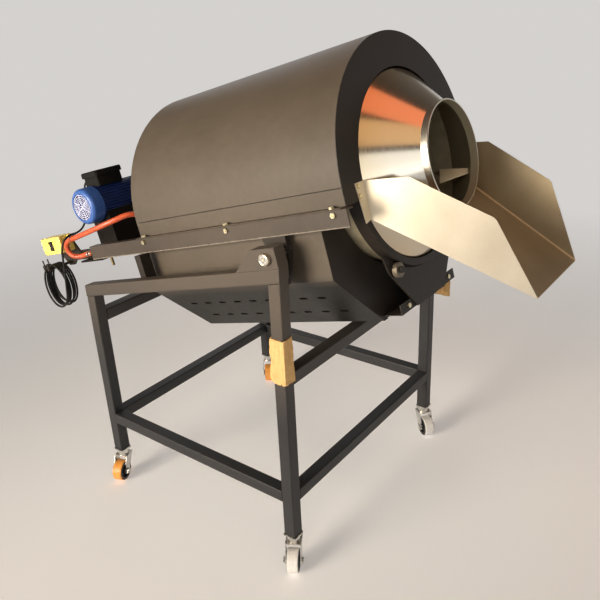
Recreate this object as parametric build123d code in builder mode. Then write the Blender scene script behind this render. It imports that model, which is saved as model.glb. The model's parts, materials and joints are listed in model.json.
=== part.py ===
"""Rotary drum roaster on a wheeled stand, tilted to pour through its chute."""
from build123d import *
from math import cos, hypot, radians, sin, sqrt, tan
import os

os.makedirs("parts", exist_ok=True)

# Stand of square tube
TUBE = 40.0
TUBE_WALL = 2.5
TUBE_CORNER = 4.0
STAND_LENGTH = 838.0
STAND_GAP = 28.0
LEG_FOOT = 120.0
LOW_RAIL_TOP = 281.0
CROSS_RAIL_TOP = 678.0
REAR_TOP = 772.0
TILT = 14.8

# Casters
WHEEL_R = 38.0
WHEEL_WIDTH = 36.0
TREAD = 11.0
CASTER_TRAIL = 29.0
AXLE_R = 5.0
PLATE_SIDE = 46.0
PLATE_THICK = 6.0
KING_R = 6.0
HEAD_R = 20.0
SWIVEL_TURNS = {"rear_near": -69.5, "front_near": -59.5, "front_far": -37.5, "rear_far": -49.5}

# Cardboard sleeves on the front legs
CARD = 3.0
NEAR_SLEEVE_TOP = 789.0
NEAR_SLEEVE_LOW = 656.0
NEAR_SLEEVE_SLACK = 5.0
FAR_SLEEVE_TOP = 660.0
FAR_SLEEVE_LOW = 592.0
FAR_SLEEVE_SLACK = 9.0
FAR_FLAP = 64.0

# Pivot between the stand and the tilting body
PIVOT_X = 380.4
PIVOT_RISE = 29.1
PIVOT_S = -208.5
PIVOT_UP = -124.7
PIVOT_R = 8.0
BRACKET_BEHIND = 119.5
BRACKET_TOP_BEHIND = 49.0
BRACKET_AHEAD = 32.7
BRACKET_OVER = 26.3
BRACKET_WALL = 4.0

# Drum
SHEET = 2.0
DRUM_R = 266.0
DRUM_FRONT = -15.0
TYRE_THICK = 19.0
TYRE_REAR = -47.0
TYRE_FRONT = -9.0
CONE_FRONT = 107.0
COLLAR_R = 141.0
COLLAR_FRONT = 128.0
SHAFT_R = 17.5
ROLLER_R = 21.0
ROLLER_WIDTH = 16.0
ROLLER_ANGLE = 31.5
ROLLER_PIN_R = 5.0
FLIGHT_HEIGHT = 62.0

# Hood and its flange strips
HOOD_R = 350.0
HOOD_LENGTH = 800.0
HOOD_SEAM = 6.0
MOUTH_LAP = 9.0
MOUTH_GAP_R = DRUM_R - MOUTH_LAP
REAR_ROOM = 26.0
DRUM_REAR = REAR_ROOM - HOOD_LENGTH
TYRE_R = DRUM_R + TYRE_THICK

# Side rails of angle iron
RAIL_TOP = -40.0
RAIL_HEIGHT = 45.0
RAIL_LEG = 30.0
RAIL_THICK = 4.0
RAIL_FRONT = 19.0
RAIL_OUT = HOOD_R + RAIL_LEG
BOLT_INSET = 17.0
BOLT_SIDE = RAIL_OUT - BOLT_INSET
BOLT_FROM_END = 29.0
BOLT_STATIONS = (BOLT_FROM_END - HOOD_LENGTH, -HOOD_LENGTH / 2 - 4, -35.0)
STAND_WIDTH = 2 * (RAIL_OUT + STAND_GAP + TUBE)

# Burner box
BOX_FRONT = -93.0
BOX_BEHIND = 12.0
BOX_REAR = -HOOD_LENGTH - BOX_BEHIND
CREASE_UP = -223.0
BOX_FLOOR = -405.0
VENT_PITCH = 66.0
VENT_ROWS = 89.0
VENT_STAGGER = 16.0
VENT_LENGTH = 29.0
VENT_WIDTH = 12.0
SHELF_FRONT = -33.0
SHELF_OVER = 13.0
SHELF_UP = BOX_FLOOR + SHELF_OVER

# Chute
CHUTE_CLEAR = 3.0
CHUTE_HALF = MOUTH_GAP_R + CHUTE_CLEAR
CHUTE_FLANGE = 38.0
CHUTE_TOP = 4.0
CHUTE_FLOOR = -95.0
LIP_S = 342.0
LIP_UP = -362.0
LIP_TAPER = 109.0
LIP_HALF = CHUTE_HALF - LIP_TAPER
CHEEK_S = 295.0
CHEEK_UP = -143.0
CHEEK_TAPER = 59.0
CHEEK_HALF = CHUTE_HALF - CHEEK_TAPER
KINK_S = 120.0
KINK_UP = -9.0
CONE_GAP = 4.0

# Drive
BEAM_WIDTH = 50.0
BEAM_FRONT = BOX_REAR - SHEET
BEAM_REAR = BEAM_FRONT - BEAM_WIDTH
GEAR_BEHIND = 200.0
GEAR_S = BEAM_REAR - GEAR_BEHIND
GEAR_CENTRES = 90.0
GEAR_WIDTH = 112.0
GEAR_BODY = 150.0
GEAR_OVER = 50.0
HUB_R = 50.0
WORM_R = 52.0
MOTOR_R = 59.0
MOTOR_START = -100.0
MOTOR_END = -300.0
FAN_END = -350.0
MOTOR_SHAFT_R = 7.0
TERM_LENGTH = 118.0
TERM_IN = 69.0
TERM_WIDTH = 90.0
TERM_HEIGHT = 54.0
PLATFORM_AHEAD = 64.0
PLATFORM_BEHIND = 62.0
PLATFORM_THICK = 6.0
PLATFORM_FRONT = GEAR_S + PLATFORM_AHEAD
PLATFORM_REAR = GEAR_S - PLATFORM_BEHIND
RAIL_SHORT = 14.0
RAIL_REAR = GEAR_S + RAIL_SHORT
CRADLE_HALF = 50.0
CRADLE_WALL = 5.0
CRADLE_OUT = MOTOR_END + 10
CRADLE_IN = MOTOR_START - 4

# Gas line, leads and switch box
HOSE_R = 9.0
LEAD_R = 3.5
PIPE_SIDE = -RAIL_OUT + 16
PIPE_UP = -66.0
NIPPLE_END = RAIL_REAR - 18
BURNER_UP = -330.0
BURNER_SIDE = 85.0
BURNER_R = 17.0
BURNER_FRONT = BOX_FRONT - 87
BURNER_REAR = BOX_REAR + 92
INLET_END = BOX_REAR - 60
SWITCH_LENGTH = 120.0
SWITCH_DEPTH = 50.0
SWITCH_FRONT = RAIL_REAR - 132
SWITCH_REAR = SWITCH_FRONT - SWITCH_LENGTH
SWITCH_IN = RAIL_LEG - RAIL_OUT
SWITCH_OUT = SWITCH_IN - SWITCH_DEPTH
SWITCH_TOP = 14.0
SWITCH_BOTTOM = -46.0
ARM_THICK = 6.0
HANK_TURNS = 5
HANK_WIDTH = 128.0
HANK_HEIGHT = 150.0
HANK_PITCH = 8.6

# Fits
RUN = 0.05
FIT = 0.2
GAP = 0.3

# Places that follow from the sizes above
HALF_L = STAND_LENGTH / 2
HALF_W = STAND_WIDTH / 2
IN_W = HALF_W - TUBE
SLOPE = tan(radians(TILT))
RAIL_DROP = TUBE / cos(radians(TILT))
FRONT_TOP = REAR_TOP + STAND_LENGTH * SLOPE
PIVOT_Z = REAR_TOP + (PIVOT_X + HALF_L) * SLOPE + PIVOT_RISE / cos(radians(TILT))
AXIS = Vector(cos(radians(TILT)), 0, sin(radians(TILT)))
UP = Vector(-sin(radians(TILT)), 0, cos(radians(TILT)))
FACE = Vector(PIVOT_X, 0, PIVOT_Z) - AXIS * PIVOT_S - UP * PIVOT_UP
REST = Location((FACE.X, 0, FACE.Z), (0, -TILT, 0))
WORLD = Location()
RAIL_BOTTOM = RAIL_TOP - RAIL_HEIGHT
RAIL_IN = RAIL_OUT - RAIL_LEG
FLOOR_HALF = HOOD_R - CREASE_UP + BOX_FLOOR
STAND_RAIL_TOP = PIVOT_UP - PIVOT_RISE


def save(piece, label, place=WORLD):
    """Put a finished piece in its place, label it and write it."""
    piece = place * piece
    piece.label = label
    export_step(piece, f"parts/{label}.step")


def at_rest(s, side, up):
    """World point of a place given along, beside and over the drum's axis."""
    return FACE + AXIS * s + Vector(0, side, 0) + UP * up


# Legs, cut off under the sloping top rails
under_rail = Plane(origin=(-HALF_L, 0, REAR_TOP - RAIL_DROP), x_dir=AXIS, z_dir=UP)
leg_x = HALF_L - TUBE / 2
leg_y = HALF_W - TUBE / 2
bore = TUBE - 2 * TUBE_WALL
for label, x, y in (
    ("leg_front_near", leg_x, -leg_y),
    ("leg_front_far", leg_x, leg_y),
    ("leg_rear_near", -leg_x, -leg_y),
    ("leg_rear_far", -leg_x, leg_y),
):
    with BuildPart() as leg:
        with BuildSketch(Plane.XY.offset(LEG_FOOT)):
            with Locations((x, y)):
                RectangleRounded(TUBE, TUBE, TUBE_CORNER)
                RectangleRounded(bore, bore, TUBE_CORNER - TUBE_WALL, mode=Mode.SUBTRACT)
        extrude(amount=FRONT_TOP)
        split(bisect_by=under_rail, keep=Keep.BOTTOM)
    save(leg.part, label)

# Sloping top rails with upright ends, capped in front
for label, outer in (("top_rail_near", HALF_W), ("top_rail_far", -IN_W)):
    with BuildPart() as top_rail:
        with BuildSketch(Plane.XZ.offset(outer)):
            Polygon(
                (-HALF_L, REAR_TOP - RAIL_DROP),
                (HALF_L, FRONT_TOP - RAIL_DROP),
                (HALF_L, FRONT_TOP),
                (-HALF_L, REAR_TOP),
                align=None,
            )
        extrude(amount=-TUBE)
        fillet(edges().filter_by(Axis((0, 0, 0), AXIS)), TUBE_CORNER)
        wall = TUBE_WALL / cos(radians(TILT))
        cap_x = HALF_L - TUBE_WALL
        cap_top = FRONT_TOP - TUBE_WALL * SLOPE
        with BuildSketch(Plane.XZ.offset(outer - TUBE_WALL)):
            Polygon(
                (-HALF_L, REAR_TOP - RAIL_DROP + wall),
                (cap_x, cap_top - RAIL_DROP + wall),
                (cap_x, cap_top - wall),
                (-HALF_L, REAR_TOP - wall),
                align=None,
            )
        extrude(amount=2 * TUBE_WALL - TUBE, mode=Mode.SUBTRACT)
    save(top_rail.part, label)

# Level rails between the legs
along = STAND_LENGTH - 2 * TUBE
across = STAND_WIDTH - 2 * TUBE
low_z = LOW_RAIL_TOP - TUBE / 2
cross_z = CROSS_RAIL_TOP - TUBE / 2
with BuildPart() as stand_rails:
    with BuildSketch(Plane.YZ.offset(-along / 2)):
        with Locations((-leg_y, low_z), (leg_y, low_z)):
            RectangleRounded(TUBE, TUBE, TUBE_CORNER)
            RectangleRounded(bore, bore, TUBE_CORNER - TUBE_WALL, mode=Mode.SUBTRACT)
    extrude(amount=along)
    with BuildSketch(Plane.XZ.offset(-across / 2)):
        with Locations((-leg_x, low_z), (leg_x, low_z), (-leg_x, cross_z), (leg_x, cross_z)):
            RectangleRounded(TUBE, TUBE, TUBE_CORNER)
            RectangleRounded(bore, bore, TUBE_CORNER - TUBE_WALL, mode=Mode.SUBTRACT)
    extrude(amount=across)
save(stand_rails.part, "stand_rails")

# Boxed brackets on the top rails that carry the pivot
with BuildPart() as pivot_brackets:
    with BuildSketch(Plane.XZ.offset(HALF_W)):
        with Locations((PIVOT_S, PIVOT_UP)):
            Polygon(
                (-BRACKET_BEHIND, -PIVOT_RISE),
                (BRACKET_AHEAD, -PIVOT_RISE),
                (BRACKET_AHEAD, BRACKET_OVER),
                (-BRACKET_TOP_BEHIND, BRACKET_OVER),
                align=None,
            )
    extrude(amount=-TUBE)
    with BuildSketch(Plane.XZ.offset(HALF_W - BRACKET_WALL)):
        with Locations((PIVOT_S, PIVOT_UP)):
            Polygon(
                (-BRACKET_BEHIND + 2 * BRACKET_WALL, -PIVOT_RISE),
                (BRACKET_AHEAD - BRACKET_WALL, -PIVOT_RISE),
                (BRACKET_AHEAD - BRACKET_WALL, BRACKET_OVER - BRACKET_WALL),
                (-BRACKET_TOP_BEHIND + BRACKET_WALL, BRACKET_OVER - BRACKET_WALL),
                align=None,
            )
    extrude(amount=2 * BRACKET_WALL - TUBE, mode=Mode.SUBTRACT)
    with BuildSketch(Plane.XZ.offset(HALF_W)):
        with Locations((PIVOT_S, PIVOT_UP)):
            Circle(PIVOT_R + FIT)
    extrude(amount=-TUBE, mode=Mode.SUBTRACT)
    mirror(about=Plane.XZ)
save(pivot_brackets.part, "pivot_brackets", REST)

# Pivot bolts, each with a washer, a spacer and a nut
trunnion_in = RAIL_OUT - 2 * RAIL_THICK
nut_in = trunnion_in - 0.5
pivot_spot = (PIVOT_S, PIVOT_UP)
with BuildPart() as pivot_bolts:
    with BuildSketch(Plane.XZ.offset(HALF_W)):
        with Locations(pivot_spot):
            Circle(15)
    extrude(amount=3)
    with BuildSketch(Plane.XZ.offset(HALF_W + 3)):
        with Locations(pivot_spot):
            RegularPolygon(12, 6, major_radius=False)
    extrude(amount=9)
    chamfer(faces().sort_by(Axis.Y)[0].edges(), 1)
    with BuildSketch(Plane.XZ.offset(HALF_W)):
        with Locations(pivot_spot):
            Circle(PIVOT_R)
    extrude(amount=-(HALF_W - nut_in + 15))
    with BuildSketch(Plane.XZ.offset(IN_W)):
        with Locations(pivot_spot):
            Circle(13)
    extrude(amount=-(IN_W - RAIL_OUT - 0.5))
    with BuildSketch(Plane.XZ.offset(nut_in)):
        with Locations(pivot_spot):
            RegularPolygon(12, 6, major_radius=False)
    extrude(amount=-12)
    mirror(about=Plane.XZ)
save(pivot_bolts.part, "pivot_bolts", REST)

# Rest stops welded to the inside of the top rails, under the side rails
STOP_S = 25 - HOOD_LENGTH
STOP_LENGTH = 26.0
stop_foot = STAND_RAIL_TOP - TUBE
stop_head = RAIL_BOTTOM - 2 * FIT
with BuildPart() as rest_stops:
    with BuildSketch(Plane.XY.offset(stop_foot)):
        with Locations((STOP_S, -IN_W + TUBE / 2)):
            Rectangle(STOP_LENGTH, TUBE)
            Rectangle(STOP_LENGTH - 2 * TUBE_WALL, bore, mode=Mode.SUBTRACT)
    extrude(amount=stop_head - stop_foot)
    with BuildSketch(Plane.XY.offset(stop_head - 4)):
        with Locations((STOP_S, -IN_W + TUBE / 2)):
            Rectangle(STOP_LENGTH, TUBE)
    extrude(amount=4)
    mirror(about=Plane.XZ)
save(rest_stops.part, "rest_stops", REST)


def card_profile(slack):
    """Trough-shaped section round three sides of the near front leg."""
    x0 = HALF_L - TUBE - slack
    x1 = HALF_L + slack
    y0 = -HALF_W - slack
    y1 = -IN_W - 2
    return (
        (x0, y1), (x0, y0), (x1, y0), (x1, y1),
        (x1 + CARD, y1), (x1 + CARD, y0 - CARD), (x0 - CARD, y0 - CARD), (x0 - CARD, y1),
    )


def flap_profile(slack):
    """Section behind and outside the far front leg, with a loose flap ahead."""
    x0 = HALF_L - TUBE - slack
    x1 = HALF_L + FAR_FLAP
    y0 = IN_W + 2
    y1 = HALF_W + slack
    return ((x0, y0), (x0, y1), (x1, y1), (x1, y1 + CARD), (x0 - CARD, y1 + CARD), (x0 - CARD, y0))


# Cardboard sleeves, open towards the inside of the stand and flaring downwards
with BuildPart() as leg_sleeves:
    with BuildSketch(Plane.XY.offset(NEAR_SLEEVE_TOP)):
        Polygon(*card_profile(0.5), align=None)
    with BuildSketch(Plane.XY.offset(NEAR_SLEEVE_LOW)):
        Polygon(*card_profile(NEAR_SLEEVE_SLACK), align=None)
    loft(ruled=True)
    with BuildSketch(Plane.XY.offset(FAR_SLEEVE_TOP)):
        Polygon(*flap_profile(0.5), align=None)
    with BuildSketch(Plane.XY.offset(FAR_SLEEVE_LOW)):
        Polygon(*flap_profile(FAR_SLEEVE_SLACK), align=None)
    loft(ruled=True)
save(leg_sleeves.part, "leg_sleeves")

# Caster plates under the legs, each with its king pin and nut
head_top = LEG_FOOT - PLATE_THICK - GAP
crown_z = 2 * WHEEL_R + 14
feet = {
    "rear_near": (-leg_x, -leg_y),
    "front_near": (leg_x, -leg_y),
    "front_far": (leg_x, leg_y),
    "rear_far": (-leg_x, leg_y),
}
with BuildPart() as caster_plates:
    with BuildSketch(Plane.XY.offset(LEG_FOOT)):
        with Locations(*feet.values()):
            RectangleRounded(PLATE_SIDE, PLATE_SIDE, 6)
    extrude(amount=-PLATE_THICK)
    with BuildSketch(Plane.XY.offset(LEG_FOOT)):
        with Locations(*feet.values()):
            Circle(KING_R)
    extrude(amount=-(LEG_FOOT - crown_z + 10))
    with BuildSketch(Plane.XY.offset(crown_z - GAP)):
        with Locations(*feet.values()):
            RegularPolygon(9, 6, major_radius=False)
    extrude(amount=-8)
save(caster_plates.part, "caster_plates")

# Swivel fork with its axle bolt, drawn with the wheel ahead of the king pin
arm_in = WHEEL_WIDTH / 2 + 4
ARM = 3.0
with BuildPart() as fork:
    with BuildSketch(Plane.XZ.offset(arm_in)):
        Polygon(
            (-22, crown_z + 4), (22, crown_z + 4),
            (CASTER_TRAIL + 13, WHEEL_R + 2), (CASTER_TRAIL - 13, WHEEL_R - 2),
            align=None,
        )
        with Locations((CASTER_TRAIL, WHEEL_R)):
            Circle(13)
            Circle(AXLE_R + FIT, mode=Mode.SUBTRACT)
    extrude(amount=ARM)
    mirror(about=Plane.XZ)
    with BuildSketch(Plane.XY.offset(crown_z)):
        Rectangle(44, 2 * (arm_in + ARM))
    extrude(amount=4)
    with BuildSketch(Plane.XY.offset(crown_z)):
        Circle(HEAD_R)
    extrude(amount=head_top - crown_z)
    with BuildSketch(Plane.XY.offset(crown_z)):
        Circle(KING_R + RUN)
    extrude(amount=head_top - crown_z, mode=Mode.SUBTRACT)
    fillet(faces().sort_by(Axis.Z)[-1].edges().sort_by(SortBy.RADIUS)[-1], 2)

with BuildPart() as axle:
    with BuildSketch(Plane.XZ.offset(arm_in + ARM + 6)):
        with Locations((CASTER_TRAIL, WHEEL_R)):
            Circle(AXLE_R)
    extrude(amount=-2 * (arm_in + ARM + 6))
    with BuildSketch(Plane.XZ.offset(arm_in + ARM)):
        with Locations((CASTER_TRAIL, WHEEL_R)):
            RegularPolygon(9, 6, major_radius=False)
    extrude(amount=6)
    with BuildSketch(Plane.XZ.offset(-arm_in - ARM)):
        with Locations((CASTER_TRAIL, WHEEL_R)):
            RegularPolygon(9, 6, major_radius=False)
    extrude(amount=-6)
fork_set = Compound([*fork.solids(), *axle.solids()])

# Wheel, turned about its axle
half = WHEEL_WIDTH / 2
hub = AXLE_R + 8
rim = WHEEL_R - TREAD
with BuildPart() as wheel:
    with BuildSketch(Plane.YZ):
        with Locations((0, WHEEL_R)):
            Polygon(
                (-half - 3, AXLE_R + RUN), (half + 3, AXLE_R + RUN),
                (half + 3, hub), (7, hub + 2), (7, rim - 2), (half, rim),
                (half, WHEEL_R - 3), (half - 3, WHEEL_R),
                (3 - half, WHEEL_R), (-half, WHEEL_R - 3),
                (-half, rim), (-7, rim - 2), (-7, hub + 2), (-half - 3, hub),
                align=None,
            )
    revolve(axis=Axis((0, 0, WHEEL_R), (0, 1, 0)))
wheel_at = Location((CASTER_TRAIL, 0, 0)) * wheel.part

for corner, (x, y) in feet.items():
    spot = Location((x, y, 0), (0, 0, SWIVEL_TURNS[corner]))
    save(fork_set, f"caster_fork_{corner}", spot)
    save(wheel_at, f"caster_wheel_{corner}", spot)

# Side rails of the tilting body, drilled for the frame bolts
BOLT_R = 4.0
SCREW_UP = RAIL_TOP - 11
with BuildPart() as rail:
    with BuildSketch(Plane.YZ.offset(RAIL_REAR)):
        Polygon(
            (-RAIL_OUT, RAIL_TOP), (-RAIL_IN, RAIL_TOP),
            (-RAIL_IN, RAIL_TOP - RAIL_THICK), (-RAIL_OUT + RAIL_THICK, RAIL_TOP - RAIL_THICK),
            (-RAIL_OUT + RAIL_THICK, RAIL_BOTTOM), (-RAIL_OUT, RAIL_BOTTOM),
            align=None,
        )
    extrude(amount=RAIL_FRONT - RAIL_REAR)
    with BuildSketch(Plane.XY.offset(RAIL_TOP)):
        with Locations(*[(s, -BOLT_SIDE) for s in BOLT_STATIONS]):
            Circle(BOLT_R + FIT)
    extrude(amount=-RAIL_THICK, mode=Mode.SUBTRACT)
    with BuildSketch(Plane.XZ.offset(RAIL_OUT)):
        with Locations(*[(s + 14, SCREW_UP) for s in BOLT_STATIONS]):
            Circle(BOLT_R + FIT)
    extrude(amount=-RAIL_THICK, mode=Mode.SUBTRACT)
save(rail.part, "side_rail_near", REST)
save(mirror(rail.part, about=Plane.XZ), "side_rail_far", REST)

# Hood shell
with BuildPart() as hood_shell:
    with BuildSketch(Plane.YZ.offset(-HOOD_LENGTH)):
        with BuildLine():
            CenterArc((0, 0), HOOD_R, 0, 180)
            Polyline((-HOOD_R, 0), (-HOOD_R, -HOOD_SEAM), (SHEET - HOOD_R, -HOOD_SEAM), (SHEET - HOOD_R, 0))
            CenterArc((0, 0), HOOD_R - SHEET, 0, 180)
            Polyline((HOOD_R - SHEET, 0), (HOOD_R - SHEET, -HOOD_SEAM), (HOOD_R, -HOOD_SEAM), (HOOD_R, 0))
        make_face()
    extrude(amount=HOOD_LENGTH - SHEET)
save(hood_shell.part, "hood_shell", REST)

# Flange strips between the hood shell and the side rails
flange_top = RAIL_TOP + SHEET
with BuildPart() as hood_flanges:
    with BuildSketch(Plane.YZ.offset(-HOOD_LENGTH)):
        Polygon(
            (-HOOD_R, -HOOD_SEAM), (SHEET - HOOD_R, -HOOD_SEAM),
            (SHEET - HOOD_R, RAIL_TOP), (2 * RAIL_THICK - RAIL_OUT, RAIL_TOP),
            (2 * RAIL_THICK - RAIL_OUT, flange_top), (-HOOD_R, flange_top),
            align=None,
        )
    extrude(amount=HOOD_LENGTH - SHEET)
    with BuildSketch(Plane.XY.offset(flange_top)):
        with Locations(*[(s, -BOLT_SIDE) for s in BOLT_STATIONS]):
            Circle(BOLT_R + FIT)
    extrude(amount=-SHEET, mode=Mode.SUBTRACT)
    mirror(about=Plane.XZ)
save(hood_flanges.part, "hood_flanges", REST)

# Hood front plate, an arch round the drum's mouth
SCREW_SIDE = CHUTE_HALF + 25
CHUTE_SCREWS = [(side * SCREW_SIDE, CHUTE_TOP - drop) for side in (-1, 1) for drop in (9, 34)]
with BuildPart() as hood_front:
    with BuildSketch(Plane.YZ.offset(-SHEET)):
        Circle(HOOD_R)
        with Locations((0, RAIL_TOP / 2)):
            Rectangle(2 * HOOD_R, -RAIL_TOP)
        with Locations((0, RAIL_TOP - HOOD_R)):
            Rectangle(2 * HOOD_R, 2 * HOOD_R, mode=Mode.SUBTRACT)
        Circle(MOUTH_GAP_R, mode=Mode.SUBTRACT)
        with Locations((0, RAIL_TOP / 2)):
            Rectangle(2 * MOUTH_GAP_R, -RAIL_TOP, mode=Mode.SUBTRACT)
        with Locations(*CHUTE_SCREWS):
            Circle(3 + FIT, mode=Mode.SUBTRACT)
    extrude(amount=SHEET)
save(hood_front.part, "hood_front_plate", REST)

# Hood rear plate, slotted from below over the shaft
SLOT_R = 30.0
with BuildPart() as hood_rear:
    with BuildSketch(Plane.YZ.offset(-HOOD_LENGTH)):
        Circle(HOOD_R)
        with Locations((0, RAIL_TOP / 2)):
            Rectangle(2 * HOOD_R, -RAIL_TOP)
        with Locations((0, RAIL_TOP - HOOD_R)):
            Rectangle(2 * HOOD_R, 2 * HOOD_R, mode=Mode.SUBTRACT)
        Circle(SLOT_R, mode=Mode.SUBTRACT)
        with Locations((0, RAIL_TOP / 2)):
            Rectangle(2 * SLOT_R, -RAIL_TOP, mode=Mode.SUBTRACT)
    extrude(amount=-SHEET)
save(hood_rear.part, "hood_rear_plate", REST)

# Burner box sides, each folded from one sheet and slotted for air
box_top = RAIL_TOP - RAIL_THICK
crease_y = -HOOD_R
box_length = BOX_FRONT - BOX_REAR
slope_mid = Plane(
    origin=((BOX_FRONT + BOX_REAR) / 2 - 12, (-HOOD_R - FLOOR_HALF) / 2 + 8, (CREASE_UP + BOX_FLOOR) / 2 - 8),
    x_dir=(1, 0, 0),
    z_dir=(0, -1, -1),
)
with BuildPart() as box_side:
    with BuildSketch(Plane.YZ.offset(BOX_REAR)):
        with BuildLine():
            Polyline(
                (6 - RAIL_OUT, box_top - SHEET), (-HOOD_R, box_top - SHEET), (-HOOD_R, CREASE_UP),
                (-FLOOR_HALF, BOX_FLOOR), (20 - FLOOR_HALF, BOX_FLOOR),
            )
            offset(amount=SHEET, side=Side.LEFT, kind=Kind.INTERSECTION)
        make_face()
    extrude(amount=box_length)
    with BuildSketch(slope_mid):
        with Locations((0, VENT_ROWS / 2), (VENT_STAGGER, -VENT_ROWS / 2)):
            with GridLocations(VENT_PITCH, 1, 9, 1):
                SlotOverall(VENT_LENGTH, VENT_WIDTH)
    extrude(amount=3 * SHEET, both=True, mode=Mode.SUBTRACT)
    with BuildSketch(Plane.XY.offset(box_top)):
        with Locations(*[(s, -BOLT_SIDE) for s in BOLT_STATIONS[:2]]):
            Circle(BOLT_R + FIT)
    extrude(amount=-SHEET, mode=Mode.SUBTRACT)
save(box_side.part, "box_side_near", REST)
save(mirror(box_side.part, about=Plane.XZ), "box_side_far", REST)

# Burner box floor with two saddles for the burner tubes
saddle_top = BURNER_UP - 6
with BuildPart() as box_floor:
    with BuildSketch(Plane.XY.offset(BOX_FLOOR + SHEET)):
        with Locations(((BOX_FRONT + BOX_REAR) / 2, 0)):
            Rectangle(box_length - 2 * SHEET - 2 * FIT, 2 * FLOOR_HALF - 8)
    extrude(amount=SHEET)
    for saddle_s in (BURNER_REAR + 80, BURNER_FRONT - 140):
        with BuildSketch(Plane.YZ.offset(saddle_s)):
            with Locations((0, (BOX_FLOOR + 2 * SHEET + saddle_top) / 2)):
                Rectangle(2 * BURNER_SIDE + 60, saddle_top - BOX_FLOOR - 2 * SHEET)
            with Locations((-BURNER_SIDE, BURNER_UP), (BURNER_SIDE, BURNER_UP)):
                Circle(BURNER_R + FIT, mode=Mode.SUBTRACT)
        extrude(amount=SHEET)
save(box_floor.part, "box_floor", REST)


def panel_outline(lowest):
    """Corners of an end panel that fits inside the folded sides."""
    edge = HOOD_R - SHEET - FIT
    total = HOOD_R - CREASE_UP - SHEET * sqrt(2) - FIT * sqrt(2)
    top = box_top - SHEET
    return (
        (-edge, top), (-edge, edge - total), (-total - lowest, lowest),
        (total + lowest, lowest), (edge, edge - total), (edge, top),
    )


# Front panel, cut out round the drum, with the shelf that carries the rollers
panel_low = BOX_FLOOR + 2 * SHEET + FIT
SHELF_HALF = FLOOR_HALF - SHEET
CARRIER_BOLTS = [(side * (SHELF_HALF - 41), SHELF_UP + 16) for side in (-1, 1)]
with BuildPart() as box_front:
    with BuildSketch(Plane.YZ.offset(BOX_FRONT)):
        Polygon(*panel_outline(panel_low), align=None)
        Circle(DRUM_R + 8, mode=Mode.SUBTRACT)
    extrude(amount=-SHEET)
    with BuildSketch(Plane.XZ.offset(-SHELF_HALF)):
        Polygon(
            (BOX_FRONT, SHELF_UP), (SHELF_FRONT, SHELF_UP), (SHELF_FRONT, SHELF_UP + 30),
            (SHELF_FRONT - 3, SHELF_UP + 30), (SHELF_FRONT - 3, SHELF_UP + 3), (BOX_FRONT, SHELF_UP + 3),
            align=None,
        )
    extrude(amount=2 * SHELF_HALF)
    with BuildSketch(Plane.YZ.offset(SHELF_FRONT)):
        with Locations(*CARRIER_BOLTS):
            Circle(BOLT_R + FIT)
    extrude(amount=-3, mode=Mode.SUBTRACT)
save(box_front.part, "box_front_panel", REST)

# Rear panel with the hole for the gas manifold
with BuildPart() as box_rear:
    with BuildSketch(Plane.YZ.offset(BOX_REAR)):
        Polygon(*panel_outline(panel_low), align=None)
        with Locations((0, BURNER_UP)):
            Circle(11 + FIT, mode=Mode.SUBTRACT)
    extrude(amount=SHEET)
save(box_rear.part, "box_rear_panel", REST)

# Trunnion plates that hang from the side rails to the pivot
with BuildPart() as trunnions:
    with BuildSketch(Plane.XZ.offset(RAIL_OUT)):
        with Locations(pivot_spot):
            Circle(22)
            Polygon(
                (-60, RAIL_BOTTOM - PIVOT_UP), (-48, -20), (-40, -92), (-8, -92), (12, -50), (20, -10),
                (20, RAIL_BOTTOM - PIVOT_UP),
                align=None,
            )
            Circle(PIVOT_R + RUN, mode=Mode.SUBTRACT)
        with Locations((PIVOT_S, RAIL_BOTTOM + 50)):
            Rectangle(300, 100, mode=Mode.SUBTRACT)
    extrude(amount=-2 * RAIL_THICK)
    mirror(about=Plane.XZ)
save(trunnions.part, "trunnion_plates", REST)

# Roller carrier plate with its two pins
roller_ring = TYRE_R + ROLLER_R + GAP
roller_y = roller_ring * sin(radians(ROLLER_ANGLE))
roller_z = -roller_ring * cos(radians(ROLLER_ANGLE))
roller_spots = [(-roller_y, roller_z), (roller_y, roller_z)]
carrier_face = SHELF_FRONT + 6
horn_tips = [
    (reach * sin(radians(turn)), -reach * cos(radians(turn)))
    for reach, turn in ((TYRE_R + 40, ROLLER_ANGLE + 4), (TYRE_R + 10, ROLLER_ANGLE + 13))
]
with BuildPart() as carrier:
    with BuildSketch(Plane.YZ.offset(SHELF_FRONT)):
        Polygon(
            (-SHELF_HALF / 2, SHELF_UP), (SHELF_HALF / 2, SHELF_UP), *horn_tips,
            (0, 35 - TYRE_R), *[(-y, z) for y, z in reversed(horn_tips)],
            align=None,
        )
        Circle(TYRE_R + 6, mode=Mode.SUBTRACT)
        with Locations(*roller_spots):
            Circle(ROLLER_PIN_R + FIT, mode=Mode.SUBTRACT)
    extrude(amount=6)

with BuildPart() as pins:
    with BuildSketch(Plane.YZ.offset(SHELF_FRONT)):
        with Locations(*roller_spots):
            Circle(ROLLER_PIN_R)
    extrude(amount=6 + 2 + ROLLER_WIDTH + 2)
    with BuildSketch(Plane.YZ.offset(carrier_face + 2 + ROLLER_WIDTH + 1)):
        with Locations(*roller_spots):
            RegularPolygon(8.5, 6, major_radius=False)
    extrude(amount=5)
    with BuildSketch(Plane.YZ.offset(SHELF_FRONT)):
        with Locations(*roller_spots):
            RegularPolygon(8, 6, major_radius=False)
    extrude(amount=-6)
save(Compound([*carrier.solids(), *pins.solids()]), "roller_carrier", REST)

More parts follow.
